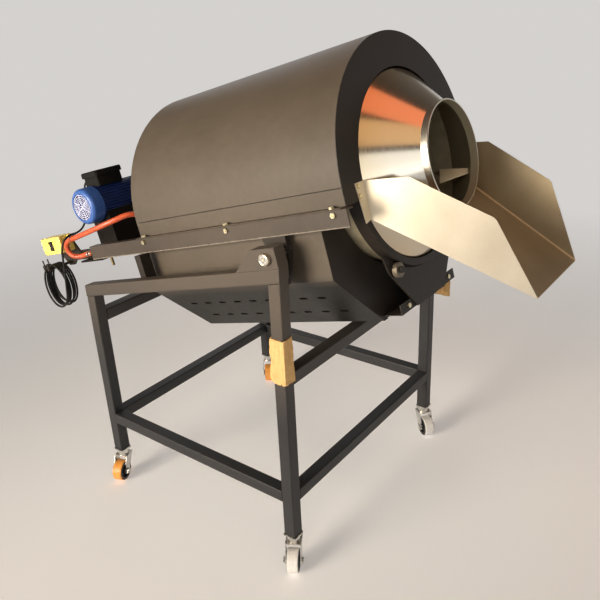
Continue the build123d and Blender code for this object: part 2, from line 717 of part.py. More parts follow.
for label, spot in zip(("roller_near", "roller_far"), roller_spots):
    with BuildPart() as roller:
        with BuildSketch(Plane.YZ.offset(carrier_face + 1)):
            with Locations(spot):
                Circle(ROLLER_R)
                Circle(ROLLER_PIN_R + RUN, mode=Mode.SUBTRACT)
        extrude(amount=ROLLER_WIDTH)
        chamfer(edges().filter_by(GeomType.CIRCLE).filter_by(lambda e: e.radius > 10), 1)
    save(roller.part, label, REST)

# Drum shell with its rear disc
with BuildPart() as drum_shell:
    with BuildSketch(Plane.XZ):
        Polygon(
            (DRUM_REAR, SHAFT_R), (DRUM_REAR + 4, SHAFT_R), (DRUM_REAR + 4, DRUM_R - SHEET),
            (DRUM_FRONT, DRUM_R - SHEET), (DRUM_FRONT, DRUM_R), (DRUM_REAR, DRUM_R),
            align=None,
        )
    revolve(axis=Axis.X)
save(drum_shell.part, "drum_shell", REST)

# Tyre ring that runs on the rollers
with BuildPart() as tyre:
    with BuildSketch(Plane.YZ.offset(TYRE_REAR)):
        Circle(TYRE_R)
        Circle(DRUM_R + FIT, mode=Mode.SUBTRACT)
    extrude(amount=TYRE_FRONT - TYRE_REAR)
    chamfer(edges().filter_by(GeomType.CIRCLE).filter_by(lambda e: e.radius > TYRE_R - 1), 1.5)
save(tyre.part, "tyre_ring", REST)

# Mouth cone and its collar with a rolled lip
cone_fall = (DRUM_R - COLLAR_R) / (CONE_FRONT - DRUM_FRONT)
cone_wall = SHEET * hypot(1, cone_fall)
with BuildPart() as mouth_cone:
    with BuildSketch(Plane.XZ):
        Polygon(
            (DRUM_FRONT, DRUM_R), (DRUM_FRONT, DRUM_R - cone_wall),
            (CONE_FRONT - 1.2, COLLAR_R - SHEET), (COLLAR_FRONT, COLLAR_R - SHEET),
            (COLLAR_FRONT, COLLAR_R + 2.5), (COLLAR_FRONT - 4, COLLAR_R + 2.5),
            (COLLAR_FRONT - 4, COLLAR_R), (CONE_FRONT, COLLAR_R),
            align=None,
        )
    revolve(axis=Axis.X)
    fillet(edges().filter_by(GeomType.CIRCLE).filter_by(lambda e: abs(e.radius - COLLAR_R - 2.5) < 0.01), 1.2)
save(mouth_cone.part, "mouth_cone", REST)

# Shaft with the hub that is welded to the rear disc
SHAFT_END = GEAR_S - GEAR_WIDTH / 2 - 14
with BuildPart() as shaft:
    with BuildSketch(Plane.XZ):
        Polygon(
            (SHAFT_END, 0), (DRUM_REAR + 40, 0), (DRUM_REAR + 40, SHAFT_R - FIT),
            (DRUM_REAR, SHAFT_R - FIT), (DRUM_REAR, 55), (DRUM_REAR - 10, 55),
            (DRUM_REAR - 10, SHAFT_R), (SHAFT_END + 1, SHAFT_R), (SHAFT_END, SHAFT_R - 1),
            align=None,
        )
    revolve(axis=Axis.X)
save(shaft.part, "drum_shaft", REST)

# Flights inside the shell and guide fins inside the cone
FLIGHT_FRONT = DRUM_FRONT - 25
FLIGHT_REAR = DRUM_REAR + 34
fin_root = DRUM_R - cone_wall - FIT
with BuildPart() as flights:
    with BuildSketch(Plane.YZ.offset(FLIGHT_REAR)):
        with PolarLocations(DRUM_R - SHEET - FIT - FLIGHT_HEIGHT / 2 - 0.2, 4, start_angle=20):
            Rectangle(FLIGHT_HEIGHT, 4)
    extrude(amount=FLIGHT_FRONT - FLIGHT_REAR)
    with BuildSketch(Plane.XZ):
        Polygon(
            (DRUM_FRONT + 5, fin_root - 5 * cone_fall - 2),
            (CONE_FRONT - 15, fin_root - (CONE_FRONT - 15 - DRUM_FRONT) * cone_fall - 2),
            (20, COLLAR_R - 23), (DRUM_FRONT + 5, COLLAR_R - 13),
            align=None,
        )
    fin = extrude(amount=2, both=True, mode=Mode.PRIVATE)
    with PolarLocations(0, 1):
        for turn in (65, 155, 245, 335):
            add(fin.rotate(Axis.X, turn))
save(flights.part, "drum_flights", REST)

# Chute, flaring at its top edges and cut back round the cone
lip_top_half = CHUTE_HALF - (CHUTE_HALF - CHEEK_HALF) * LIP_S / CHEEK_S
lip_top_up = -60.0
wall_lean = (lip_top_half - LIP_HALF) / (CHEEK_UP - LIP_UP)
with BuildPart() as chute:
    with BuildSketch(Plane.YZ):
        Polygon(
            (-CHUTE_HALF, CHUTE_FLOOR), (CHUTE_HALF, CHUTE_FLOOR), (CHUTE_HALF, 40), (-CHUTE_HALF, 40),
            align=None,
        )
    with BuildSketch(Plane.YZ.offset(LIP_S)):
        high = LIP_HALF + wall_lean * (lip_top_up - LIP_UP)
        Polygon((-LIP_HALF, LIP_UP), (LIP_HALF, LIP_UP), (high, lip_top_up), (-high, lip_top_up), align=None)
    loft(ruled=True)
    with BuildSketch(Plane.YZ):
        inner = CHUTE_HALF - SHEET
        Polygon(
            (-inner, CHUTE_FLOOR + SHEET), (inner, CHUTE_FLOOR + SHEET), (inner, 41), (-inner, 41),
            align=None,
        )
    with BuildSketch(Plane.YZ.offset(LIP_S)):
        low = LIP_HALF - SHEET
        top = low + wall_lean * (lip_top_up + 1 - LIP_UP)
        Polygon(
            (-low, LIP_UP + SHEET), (low, LIP_UP + SHEET), (top, lip_top_up + 1), (-top, lip_top_up + 1),
            align=None,
        )
    loft(ruled=True, mode=Mode.SUBTRACT)
    with BuildSketch(Plane.XZ.offset(-HOOD_R)):
        with BuildLine():
            Polyline((-1, CHUTE_TOP), (KINK_S, KINK_UP), (CHEEK_S, CHEEK_UP))
            Polyline(
                (CHEEK_S, CHEEK_UP), (LIP_S + 1, LIP_UP), (LIP_S + 60, LIP_UP),
                (LIP_S + 60, 90), (-1, 90), (-1, CHUTE_TOP),
            )
        make_face()
        fillet(vertices().filter_by(lambda v: abs(v.X - CHEEK_S) < 0.1), 22)
    extrude(amount=2 * HOOD_R, mode=Mode.SUBTRACT)
    with BuildSketch(Plane.YZ):
        Polygon(
            (1.5 - CHUTE_HALF, CHUTE_TOP), (-CHUTE_HALF - CHUTE_FLANGE, CHUTE_TOP),
            (13 - CHUTE_HALF - CHUTE_FLANGE, CHUTE_FLOOR - 5), (1.5 - CHUTE_HALF, CHUTE_FLOOR),
            align=None,
        )
        mirror(about=Plane.YZ)
        with Locations(*CHUTE_SCREWS):
            Circle(3 + FIT, mode=Mode.SUBTRACT)
    extrude(amount=SHEET)
    with BuildSketch(Plane.XZ):
        reach = CONE_GAP * hypot(1, cone_fall)
        Polygon(
            (-1, 0), (COLLAR_FRONT + CONE_GAP, 0), (COLLAR_FRONT + CONE_GAP, COLLAR_R + CONE_GAP),
            (CONE_FRONT + 5, COLLAR_R + CONE_GAP), (-1, DRUM_R - 14 * cone_fall + reach),
            align=None,
        )
    revolve(axis=Axis.X, mode=Mode.SUBTRACT)
save(chute.part, "chute", REST)

# Beam across the side rails and the pillow block on it
BEARING_S = (BEAM_FRONT + BEAM_REAR) / 2
with BuildPart() as beam:
    with BuildSketch(Plane.XY.offset(box_top)):
        with Locations((BEARING_S, 0)):
            Rectangle(BEAM_FRONT - BEAM_REAR, 2 * (RAIL_OUT - RAIL_THICK - FIT))
    extrude(amount=-10)
save(beam.part, "bearing_beam", REST)

with BuildPart() as pillow:
    with BuildSketch(Plane.YZ.offset(BEARING_S - 19)):
        Circle(38)
        with Locations((0, box_top / 2)):
            Rectangle(62, -box_top)
        with Locations((0, box_top + 7)):
            RectangleRounded(160, 14, 3)
        with Locations((0, box_top - 20)):
            Rectangle(200, 40, mode=Mode.SUBTRACT)
        Circle(SHAFT_R + RUN, mode=Mode.SUBTRACT)
    extrude(amount=38)
save(pillow.part, "pillow_block", REST)

# Drive platform under the side rails, with the welded cradle that carries the motor
with BuildPart() as platform:
    with BuildSketch(Plane.XY.offset(RAIL_BOTTOM)):
        with Locations(((PLATFORM_FRONT + PLATFORM_REAR) / 2, 0)):
            Rectangle(PLATFORM_FRONT - PLATFORM_REAR, 2 * RAIL_OUT)
    extrude(amount=-PLATFORM_THICK)
    with BuildSketch(Plane.XY.offset(RAIL_BOTTOM)):
        with Locations((GEAR_S, (CRADLE_OUT + CRADLE_IN) / 2)):
            Rectangle(2 * CRADLE_HALF, CRADLE_IN - CRADLE_OUT)
            Rectangle(
                2 * (CRADLE_HALF - CRADLE_WALL), CRADLE_IN - CRADLE_OUT - 2 * CRADLE_WALL, mode=Mode.SUBTRACT
            )
    extrude(amount=GEAR_CENTRES - 28 - RAIL_BOTTOM)
    with BuildSketch(Plane.XZ.offset(-CRADLE_IN)):
        with Locations((GEAR_S, GEAR_CENTRES)):
            Circle(MOTOR_R + FIT)
    extrude(amount=CRADLE_IN - CRADLE_OUT, mode=Mode.SUBTRACT)
save(platform.part, "drive_platform", REST)

# Worm gearbox on the shaft's end
with BuildPart() as gearbox:
    with BuildSketch(Plane.YZ.offset(GEAR_S - GEAR_WIDTH / 2)):
        with Locations((0, (RAIL_BOTTOM + GEAR_CENTRES + GEAR_OVER) / 2)):
            RectangleRounded(GEAR_BODY, GEAR_CENTRES + GEAR_OVER - RAIL_BOTTOM, 16)
    extrude(amount=GEAR_WIDTH)
    with BuildSketch(Plane.YZ.offset(GEAR_S - GEAR_WIDTH / 2 - 6)):
        Circle(HUB_R)
    extrude(amount=GEAR_WIDTH + 12)
    with BuildSketch(Plane.XZ.offset(GEAR_BODY / 2)):
        with Locations((GEAR_S, GEAR_CENTRES)):
            Circle(WORM_R)
    extrude(amount=-MOTOR_START - GEAR_BODY / 2)
    with BuildSketch(Plane.YZ.offset(GEAR_S - GEAR_WIDTH / 2 - 6)):
        Circle(SHAFT_R + RUN)
    extrude(amount=GEAR_WIDTH + 12, mode=Mode.SUBTRACT)
    with BuildSketch(Plane.XZ.offset(-MOTOR_START)):
        with Locations((GEAR_S, GEAR_CENTRES)):
            Circle(MOTOR_SHAFT_R + RUN)
    extrude(amount=MOTOR_START - 40, mode=Mode.SUBTRACT)
save(gearbox.part, "gearbox", REST)

# Motor housing, fan cover with its grille, fan with the motor shaft
motor_spot = (GEAR_S, GEAR_CENTRES)
with BuildPart() as motor:
    with BuildSketch(Plane.XZ.offset(-MOTOR_START)):
        with Locations(motor_spot):
            Circle(MOTOR_R)
            Circle(MOTOR_SHAFT_R + RUN, mode=Mode.SUBTRACT)
    extrude(amount=MOTOR_START - MOTOR_END)
save(motor.part, "motor_housing", REST)

with BuildPart() as fan_cover:
    with BuildSketch(Plane.XZ.offset(-MOTOR_END)):
        with Locations(motor_spot):
            Circle(MOTOR_R + 2)
    extrude(amount=MOTOR_END - FAN_END)
    fillet(faces().sort_by(Axis.Y)[0].edges(), 6)
    with BuildSketch(Plane.XZ.offset(-MOTOR_END)):
        with Locations(motor_spot):
            Circle(MOTOR_R - 3)
    extrude(amount=MOTOR_END - FAN_END - SHEET, mode=Mode.SUBTRACT)
    with BuildSketch(Plane.XZ.offset(-FAN_END)):
        with Locations(motor_spot):
            with PolarLocations(32, 16):
                SlotOverall(32, 4)
    extrude(amount=-2 * SHEET, mode=Mode.SUBTRACT)
save(fan_cover.part, "fan_cover", REST)

with BuildPart() as fan:
    with BuildSketch(Plane.XZ.offset(-40)):
        with Locations(motor_spot):
            Circle(MOTOR_SHAFT_R)
    extrude(amount=40 + 38 - MOTOR_END)
    with BuildSketch(Plane.XZ.offset(18 - MOTOR_END)):
        with Locations(motor_spot):
            Circle(MOTOR_R - 13)
    extrude(amount=3)
    with BuildSketch(Plane.XZ.offset(21 - MOTOR_END)):
        with Locations(motor_spot):
            Circle(16)
            with PolarLocations((MOTOR_R + 1) / 2, 8):
                Rectangle(30, 3)
    extrude(amount=15)
save(fan.part, "motor_fan", REST)

# Terminal box on top of the motor, with the gland of the motor lead
BOX_LOW = GEAR_CENTRES + MOTOR_R - 6
TERM_REAR = GEAR_S - TERM_WIDTH / 2
LEAD_START = (TERM_REAR - 12, MOTOR_END + 60, BOX_LOW + 30)
with BuildPart() as terminal:
    with BuildSketch(Plane.XY.offset(BOX_LOW)):
        with Locations((GEAR_S, MOTOR_END + TERM_IN)):
            RectangleRounded(TERM_WIDTH, TERM_LENGTH, 5)
    extrude(amount=TERM_HEIGHT)
    fillet(faces().sort_by(Axis.Z)[-1].edges(), 4)
    with BuildSketch(Plane.YZ.offset(TERM_REAR)):
        with Locations((LEAD_START[1], LEAD_START[2])):
            Circle(8)
    extrude(amount=-12)
    with BuildSketch(Plane.XZ.offset(100)):
        with Locations(motor_spot):
            Circle(MOTOR_R + FIT)
    extrude(amount=300, mode=Mode.SUBTRACT)
save(terminal.part, "terminal_box", REST)

# Burner tubes with a row of flame holes
FLAME_PITCH = 30.0
flame_holes = int((BURNER_FRONT - BURNER_REAR - 2 * FLAME_PITCH) / FLAME_PITCH) + 1
with BuildPart() as burners:
    with BuildSketch(Plane.YZ.offset(BURNER_REAR)):
        with Locations((-BURNER_SIDE, BURNER_UP), (BURNER_SIDE, BURNER_UP)):
            Circle(BURNER_R)
            Circle(BURNER_R - 2.5, mode=Mode.SUBTRACT)
    extrude(amount=BURNER_FRONT - BURNER_REAR)
    with BuildSketch(Plane.YZ.offset(BURNER_FRONT)):
        with Locations((-BURNER_SIDE, BURNER_UP), (BURNER_SIDE, BURNER_UP)):
            Circle(BURNER_R)
    extrude(amount=4)
    with BuildSketch(Plane.XY.offset(BURNER_UP)):
        with Locations(((BURNER_FRONT + BURNER_REAR) / 2, 0)):
            with GridLocations(FLAME_PITCH, 2 * BURNER_SIDE, flame_holes, 2):
                Circle(2.5)
    extrude(amount=30, mode=Mode.SUBTRACT)
save(burners.part, "burner_tubes", REST)

# Gas manifold behind the burner tubes, ending in the hose nipple
with BuildPart() as manifold:
    with BuildSketch(Plane.XZ.offset(BURNER_SIDE + 24)):
        with Locations((BURNER_REAR - 16, BURNER_UP)):
            Circle(16)
    extrude(amount=-2 * (BURNER_SIDE + 24))
    with BuildSketch(Plane.YZ.offset(BURNER_REAR - 16)):
        with Locations((-BURNER_SIDE, BURNER_UP), (BURNER_SIDE, BURNER_UP)):
            Circle(12)
    extrude(amount=16)
    with BuildSketch(Plane.YZ.offset(BURNER_REAR - 16)):
        with Locations((0, BURNER_UP)):
            Circle(11)
    extrude(amount=INLET_END + 16 - BURNER_REAR)
save(manifold.part, "gas_manifold", REST)

# Gas inlet pipe inside the near side rail: nipple behind, supply spigot below
SUPPLY_S = GEAR_S + 94
SUPPLY_R = 4.75
SUPPLY_LOW = RAIL_BOTTOM - 30
with BuildPart() as gas_inlet:
    with BuildSketch(Plane.YZ.offset(NIPPLE_END)):
        with Locations((PIPE_SIDE, PIPE_UP)):
            Circle(HOSE_R)
    extrude(amount=SUPPLY_S - 15 - NIPPLE_END)
    with BuildSketch(Plane.YZ.offset(SUPPLY_S - 15)):
        with Locations((PIPE_SIDE, PIPE_UP)):
            Rectangle(2 * (RAIL_OUT - RAIL_THICK + PIPE_SIDE), 24)
    extrude(amount=30)
    with BuildSketch(Plane.XY.offset(PIPE_UP)):
        with Locations((SUPPLY_S, PIPE_SIDE)):
            Circle(SUPPLY_R)
    extrude(amount=SUPPLY_LOW - PIPE_UP)
save(gas_inlet.part, "gas_inlet", REST)

# Switch arm with its hook, welded upright on the drive platform
HOOK = (SWITCH_FRONT - 52, RAIL_BOTTOM - 3)
HOOK_R = 5.0
HOOK_LENGTH = 96.0
ARM_FRONT = GEAR_S + 40
ARM_TOP = SWITCH_TOP - 22
with BuildPart() as arm:
    with BuildSketch(Plane.XZ.offset(-SWITCH_IN)):
        Polygon(
            (ARM_FRONT, RAIL_BOTTOM), (ARM_FRONT, RAIL_BOTTOM + 33), (SWITCH_FRONT + 20, RAIL_BOTTOM + 33),
            (SWITCH_FRONT - 6, ARM_TOP), (SWITCH_REAR + 10, ARM_TOP), (SWITCH_REAR + 10, SWITCH_BOTTOM),
            (HOOK[0] - 16, HOOK[1] - 12), (HOOK[0] + 16, HOOK[1] - 12), (HOOK[0] + 34, RAIL_BOTTOM),
            align=None,
        )
    extrude(amount=-ARM_THICK)
    with BuildSketch(Plane.XZ.offset(-SWITCH_IN)):
        with Locations(HOOK):
            Circle(HOOK_R)
    extrude(amount=HOOK_LENGTH)
    with BuildSketch(Plane.XZ.offset(HOOK_LENGTH - 4 - SWITCH_IN)):
        with Locations((HOOK[0], HOOK[1] + 8)):
            RectangleRounded(10, 26, 3)
    extrude(amount=4)
save(arm.part, "switch_arm", REST)

# Switch box with the opening for its rocker and the glands of both leads
ROCKER_SPOT = ((SWITCH_FRONT + SWITCH_REAR) / 2, (SWITCH_TOP + SWITCH_BOTTOM) / 2)
SWITCH_GLAND = (SWITCH_FRONT + 10, SWITCH_IN - 12, SWITCH_TOP - 10)
LEAD_END = (SWITCH_FRONT - 33, SWITCH_IN + 12, SWITCH_TOP - 11)
with BuildPart() as switch_box:
    with BuildSketch(Plane.XZ.offset(-SWITCH_IN)):
        with Locations(((SWITCH_FRONT + SWITCH_REAR) / 2, (SWITCH_TOP + SWITCH_BOTTOM) / 2)):
            RectangleRounded(SWITCH_FRONT - SWITCH_REAR, SWITCH_TOP - SWITCH_BOTTOM, 6)
    extrude(amount=SWITCH_IN - SWITCH_OUT)
    fillet(faces().sort_by(Axis.Y)[0].edges(), 3)
    with BuildSketch(Plane.XZ.offset(-SWITCH_OUT)):
        with Locations(ROCKER_SPOT):
            Rectangle(24, 34)
    extrude(amount=-16, mode=Mode.SUBTRACT)
    with BuildSketch(Plane.YZ.offset(SWITCH_FRONT)):
        with Locations((SWITCH_GLAND[1], SWITCH_GLAND[2])):
            Circle(8)
    extrude(amount=10)
    with BuildSketch(Plane.XZ.offset(-SWITCH_IN)):
        with Locations((LEAD_END[0], LEAD_END[2])):
            Circle(8)
    extrude(amount=SWITCH_IN - LEAD_END[1])
save(switch_box.part, "switch_box", REST)

# Rocker, a prism that swings on its own middle line
rocker_pin = -SWITCH_OUT - 4
with BuildPart() as rocker:
    with BuildSketch(Plane.YZ.offset(ROCKER_SPOT[0] - 11)):
        with Locations((-rocker_pin, ROCKER_SPOT[1])):
            Polygon((-3, 0), (-7, 14), (0, 14.6), (6, 5), (6, -5), (0, -14.6), (-7, -14), align=None)
    extrude(amount=22)
save(rocker.part, "switch_rocker", REST)

# Bolts and screws: rail stations, shelf, chute
with BuildPart() as bolts:
    stations = [(s, side * BOLT_SIDE) for s in BOLT_STATIONS for side in (-1, 1)]
    with BuildSketch(Plane.XY.offset(flange_top)):
        with Locations(*stations):
            RegularPolygon(6.5, 6, major_radius=False)
    extrude(amount=5.5)
    with BuildSketch(Plane.XY.offset(flange_top)):
        with Locations(*stations):
            Circle(BOLT_R)
    extrude(amount=-18)
    with BuildSketch(Plane.XY.offset(box_top - SHEET)):
        with Locations(*stations):
            RegularPolygon(6.5, 6, major_radius=False)
    extrude(amount=-6)
    for side in (-1, 1):
        screws = [(s + 14, SCREW_UP) for s in BOLT_STATIONS]
        with BuildSketch(Plane.XZ.offset(-side * RAIL_OUT)):
            with Locations(*screws):
                RegularPolygon(6.5, 6, major_radius=False)
        extrude(amount=-side * 5.5)
        with BuildSketch(Plane.XZ.offset(-side * RAIL_OUT)):
            with Locations(*screws):
                Circle(BOLT_R)
        extrude(amount=side * 8)
    with BuildSketch(Plane.YZ.offset(SHELF_FRONT)):
        with Locations(*CARRIER_BOLTS):
            RegularPolygon(6.5, 6, major_radius=False)
    extrude(amount=5.5)
    with BuildSketch(Plane.YZ.offset(SHELF_FRONT)):
        with Locations(*CARRIER_BOLTS):
            Circle(BOLT_R)
    extrude(amount=-8)
    with BuildSketch(Plane.YZ.offset(SHEET)):
        with Locations(*CHUTE_SCREWS):
            Circle(6)
    extrude(amount=3)
    with BuildSketch(Plane.YZ.offset(SHEET)):
        with Locations(*CHUTE_SCREWS):
            Circle(3)
    extrude(amount=-8)
save(bolts.part, "frame_bolts", REST)


def bend_radii(points):
    """Largest easy radius at each corner of a cord's route."""
    radii = []
    for before, here, after in zip(points, points[1:], points[2:]):
        back = Vector(*here) - Vector(*before)
        ahead = Vector(*after) - Vector(*here)
        turn = radians(back.get_angle(ahead))
        radii.append(0.45 * min(back.length, ahead.length) / tan(turn / 2))
    return radii


def cord(points, radius):
    """Round cord along straight runs joined by tangent bends."""
    radii = bend_radii(points)
    with BuildPart() as tube:
        with BuildLine() as route:
            FilletPolyline(*points, radius=radii)
        start = Vector(*points[0])
        ahead = Vector(*points[1]) - start
        with BuildSketch(Plane(origin=start, z_dir=ahead)):
            Circle(radius)
        sweep(path=route.wires()[0])
    length = route.wires()[0].length
    section = 3.141593 * radius**2
    print("cord", round(length, 1), "volume ratio", round(tube.part.volume / (section * length), 4))
    print("  least bend", round(min(radii), 1), [round(r) for r in radii])
    print("  runs", [round((Vector(*b) - Vector(*a)).length) for a, b in zip(points, points[1:])])
    return tube.part


# Gas hose from the nipple round to the manifold behind the burner box
hose_route = [
    (NIPPLE_END, PIPE_SIDE, PIPE_UP),
    (NIPPLE_END - 32, PIPE_SIDE, PIPE_UP),
    (NIPPLE_END - 65, PIPE_SIDE - 11, PIPE_UP - 3),
    (NIPPLE_END - 84, PIPE_SIDE - 22, PIPE_UP + 9),
    (NIPPLE_END - 92, PIPE_SIDE - 27, PIPE_UP + 30),
    (NIPPLE_END - 87, PIPE_SIDE - 30, PIPE_UP + 52),
    (NIPPLE_END - 70, PIPE_SIDE - 31, PIPE_UP + 67),
    (NIPPLE_END - 2, PIPE_SIDE - 27, PIPE_UP + 77),
    (NIPPLE_END + 78, PIPE_SIDE - 14, PIPE_UP + 86),
    (NIPPLE_END + 148, PIPE_SIDE + 8, PIPE_UP + 95),
    (INLET_END, PIPE_SIDE + 58, PIPE_UP + 96),
    (INLET_END + 12, PIPE_SIDE + 118, PIPE_UP + 68),
    (INLET_END - 10, PIPE_SIDE + 150, PIPE_UP + 14),
    (INLET_END - 28, PIPE_SIDE + 169, PIPE_UP - 34),
    (INLET_END - 53, PIPE_SIDE + 194, BURNER_UP + 175),
    (INLET_END - 86, -145, BURNER_UP + 120),
    (INLET_END - 113, -112, BURNER_UP + 72),
    (INLET_END - 118, -66, BURNER_UP + 32),
    (INLET_END - 96, -22, BURNER_UP + 8),
    (INLET_END - 48, 0, BURNER_UP),
    (INLET_END, 0, BURNER_UP),
]
save(cord(hose_route, HOSE_R), "gas_hose", REST)

# Motor lead from the terminal box down behind the motor to the switch box
lead_route = [
    LEAD_START,
    (LEAD_START[0] - 31, LEAD_START[1], LEAD_START[2]),
    (LEAD_START[0] - 55, LEAD_START[1] - 1, LEAD_START[2] - 23),
    (LEAD_START[0] - 65, LEAD_START[1] - 4, LEAD_START[2] - 59),
    (LEAD_START[0] - 73, LEAD_START[1] - 10, LEAD_START[2] - 97),
    (LEAD_END[0] + 12, LEAD_END[1] + 80, LEAD_END[2] + 39),
    (LEAD_END[0] + 4, LEAD_END[1] + 62, LEAD_END[2] + 11),
    (LEAD_END[0], LEAD_END[1] + 33, LEAD_END[2]),
    LEAD_END,
]
save(cord(lead_route, LEAD_R), "motor_lead", REST)


def biarc(p0, t0, p1, t1):
    """Two arcs that leave p0 along t0 and reach p1 along t1."""
    v = p1 - p0
    total = t0 + t1
    a = 2 * (t0.dot(t1) - 1)
    b = -2 * v.dot(total)
    c = v.dot(v)
    if abs(a) < 1e-6:
        d = -c / b
    else:
        d = (-b - sqrt(b * b - 4 * a * c)) / (2 * a)
    q0 = p0 + t0 * d
    q1 = p1 - t1 * d
    middle = (q0 + q1) * 0.5
    return middle, (q1 - q0).normalized()


# Mains lead: gland, over the hose, five hanging turns on the hook, tail to the plug
hook = at_rest(HOOK[0], 0, HOOK[1])
hank_top = hook.Z + HOOK_R + LEAD_R + GAP
hank_mid = hank_top - HANK_HEIGHT / 2
hank_out = SWITCH_OUT - 32
creep = HANK_PITCH / 4
crossing = at_rest(SWITCH_FRONT + 58, PIPE_SIDE - 30, PIPE_UP + 84)
falling = at_rest(SWITCH_FRONT + 42, hank_out, SWITCH_TOP - 50)
stops = [
    (at_rest(*SWITCH_GLAND), AXIS),
    (at_rest(SWITCH_GLAND[0] + 8, *SWITCH_GLAND[1:]), AXIS),
    (crossing, (AXIS * 0.1 - UP * 0.1 - Vector(0, 1, 0)).normalized()),
    (falling, Vector(0, 0, -1)),
]
shapes = (
    (HANK_WIDTH / 2, 0, 0, -1),
    (0, -HANK_HEIGHT / 2, -1, 0),
    (-HANK_WIDTH / 2, 0, 0, 1),
    (0, HANK_HEIGHT / 2, 1, 0),
)
for quarter in range(4 * HANK_TURNS + 2):
    dx, dz, tx, tz = shapes[quarter % 4]
    spot = Vector(hook.X + dx, hank_out + creep * quarter, hank_mid + dz)
    run = HANK_WIDTH / 2 + HANK_HEIGHT / 2
    stops.append((spot, Vector(tx, creep / run * 1.6, tz).normalized()))
tail_y = stops[-1][0].Y + 3
plug_end = Vector(hook.X - 96, tail_y, hank_mid + 10)
plug_way = Vector(-0.35, 0, 1).normalized()
stops.append((plug_end - plug_way * 8, plug_way))
stops.append((plug_end, plug_way))
with BuildPart() as mains_lead:
    with BuildLine() as wound:
        first = Line(stops[0][0], stops[1][0])
        for (p0, t0), (p1, t1) in zip(stops[1:-2], stops[2:-1]):
            middle, way = biarc(p0, t0, p1, t1)
            TangentArc(p0, middle, tangent=t0)
            TangentArc(middle, p1, tangent=way)
        Line(stops[-2][0], stops[-1][0])
    with BuildSketch(Plane(origin=stops[0][0], z_dir=AXIS)):
        Circle(LEAD_R)
    sweep(path=wound.wires()[0])
wire = wound.wires()[0]
count = int(wire.length / 2)
samples = [wire.position_at(k / count) for k in range(count + 1)]
step = wire.length / count
apart = int(4 * LEAD_R / step) + 1
nearest = min((a - b).length for i, a in enumerate(samples) for b in samples[i + apart :])
print("mains lead", round(wire.length, 1), "least gap between turns", round(nearest - 2 * LEAD_R, 2))
print("  tightest", round(min(e.radius for e in wire.edges() if e.geom_type == GeomType.CIRCLE), 1))
print("  volume ratio", round(mains_lead.part.volume / (3.141593 * LEAD_R**2 * wire.length), 4))
save(mains_lead.part, "mains_lead")

# Plug on the end of the mains lead
plug_plane = Plane(origin=plug_end, x_dir=(0, 1, 0), z_dir=plug_way)
with BuildPart() as plug:
    with BuildSketch(plug_plane):
        Circle(6)
    with BuildSketch(plug_plane.offset(14)):
        RectangleRounded(30, 16, 5)
    loft()
    with BuildSketch(plug_plane.offset(14)):
        RectangleRounded(30, 16, 5)
    extrude(amount=22)
    with BuildSketch(plug_plane.offset(36)):
        with Locations((-9.5, 0), (9.5, 0)):
            Circle(2.4)
    extrude(amount=19)
save(plug.part, "mains_plug")

print("front face centre", FACE, "pivot", PIVOT_X, round(PIVOT_Z, 2))
print("axis", AXIS, "up", UP)
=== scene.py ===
# %% [markdown]
# # A rotary drum roaster, dressed for its portrait
#
# The steelwork arrives finished: every tube, plate, wheel and bolt is already in its place, in
# metres. What is left is what the eye reads first: the enamel on the casing, the spun cone, the
# hose and the leads, the moulded and pressed pieces, and the light. Each step below is one such
# job.

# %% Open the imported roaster
import json
import math

import bmesh
import bpy
from mathutils import Matrix, Vector


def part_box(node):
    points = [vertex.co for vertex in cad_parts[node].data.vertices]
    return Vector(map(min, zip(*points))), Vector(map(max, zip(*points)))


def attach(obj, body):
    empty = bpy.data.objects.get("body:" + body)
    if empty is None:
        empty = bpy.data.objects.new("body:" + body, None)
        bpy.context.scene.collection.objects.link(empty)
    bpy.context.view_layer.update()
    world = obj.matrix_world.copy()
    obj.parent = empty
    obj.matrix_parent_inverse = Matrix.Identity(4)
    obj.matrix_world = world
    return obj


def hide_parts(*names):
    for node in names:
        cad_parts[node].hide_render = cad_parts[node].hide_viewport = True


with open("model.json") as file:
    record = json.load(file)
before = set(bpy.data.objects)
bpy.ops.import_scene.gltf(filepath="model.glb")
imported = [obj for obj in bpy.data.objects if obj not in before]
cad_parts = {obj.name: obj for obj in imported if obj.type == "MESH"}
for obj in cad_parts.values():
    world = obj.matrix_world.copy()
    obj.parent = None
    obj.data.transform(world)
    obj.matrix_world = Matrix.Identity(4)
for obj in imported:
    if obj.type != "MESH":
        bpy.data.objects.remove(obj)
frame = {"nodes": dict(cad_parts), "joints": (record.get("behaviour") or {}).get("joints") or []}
steel = frame["nodes"]
joints = {joint["name"]: joint for joint in frame["joints"]}
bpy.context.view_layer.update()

# %% [markdown]
# ## Where the tilted body sits
#
# The casing leans back by the slope of the stand's top rails, so most of its pieces are easier to
# place along, beside and over the drum's axis than in room coordinates. One helper turns such a
# place into a point of the room. The drum's own joint gives the start of that axis and its
# direction, and three turns of a new primitive come up again and again.

# %% Axes of the tilted body
FACE = Vector(joints["drum_spin"]["pos_m"])
ALONG = Vector(joints["drum_spin"]["axis"])
OVER = ALONG.cross(Vector((0, 1, 0)))
TILT = math.atan2(ALONG.z, ALONG.x)
SQUARE = (0, -TILT, 0)
LENGTHWISE = (0, math.pi / 2 - TILT, 0)
SIDEWAYS = (math.pi / 2, 0, 0)


def at_rest(along, beside, over):
    """Point of the room for a place in millimetres on the tilted body."""
    return FACE + ALONG * (along / 1000) + Vector((0, beside / 1000, 0)) + OVER * (over / 1000)


def clear_selection():
    """Deselect everything, because operators act on all that is selected."""
    if bpy.context.object and bpy.context.object.mode != "OBJECT":
        bpy.ops.object.mode_set(mode="OBJECT")
    bpy.ops.object.select_all(action="DESELECT")


print("axis", tuple(round(c, 4) for c in ALONG), "tilt", round(math.degrees(TILT), 2))

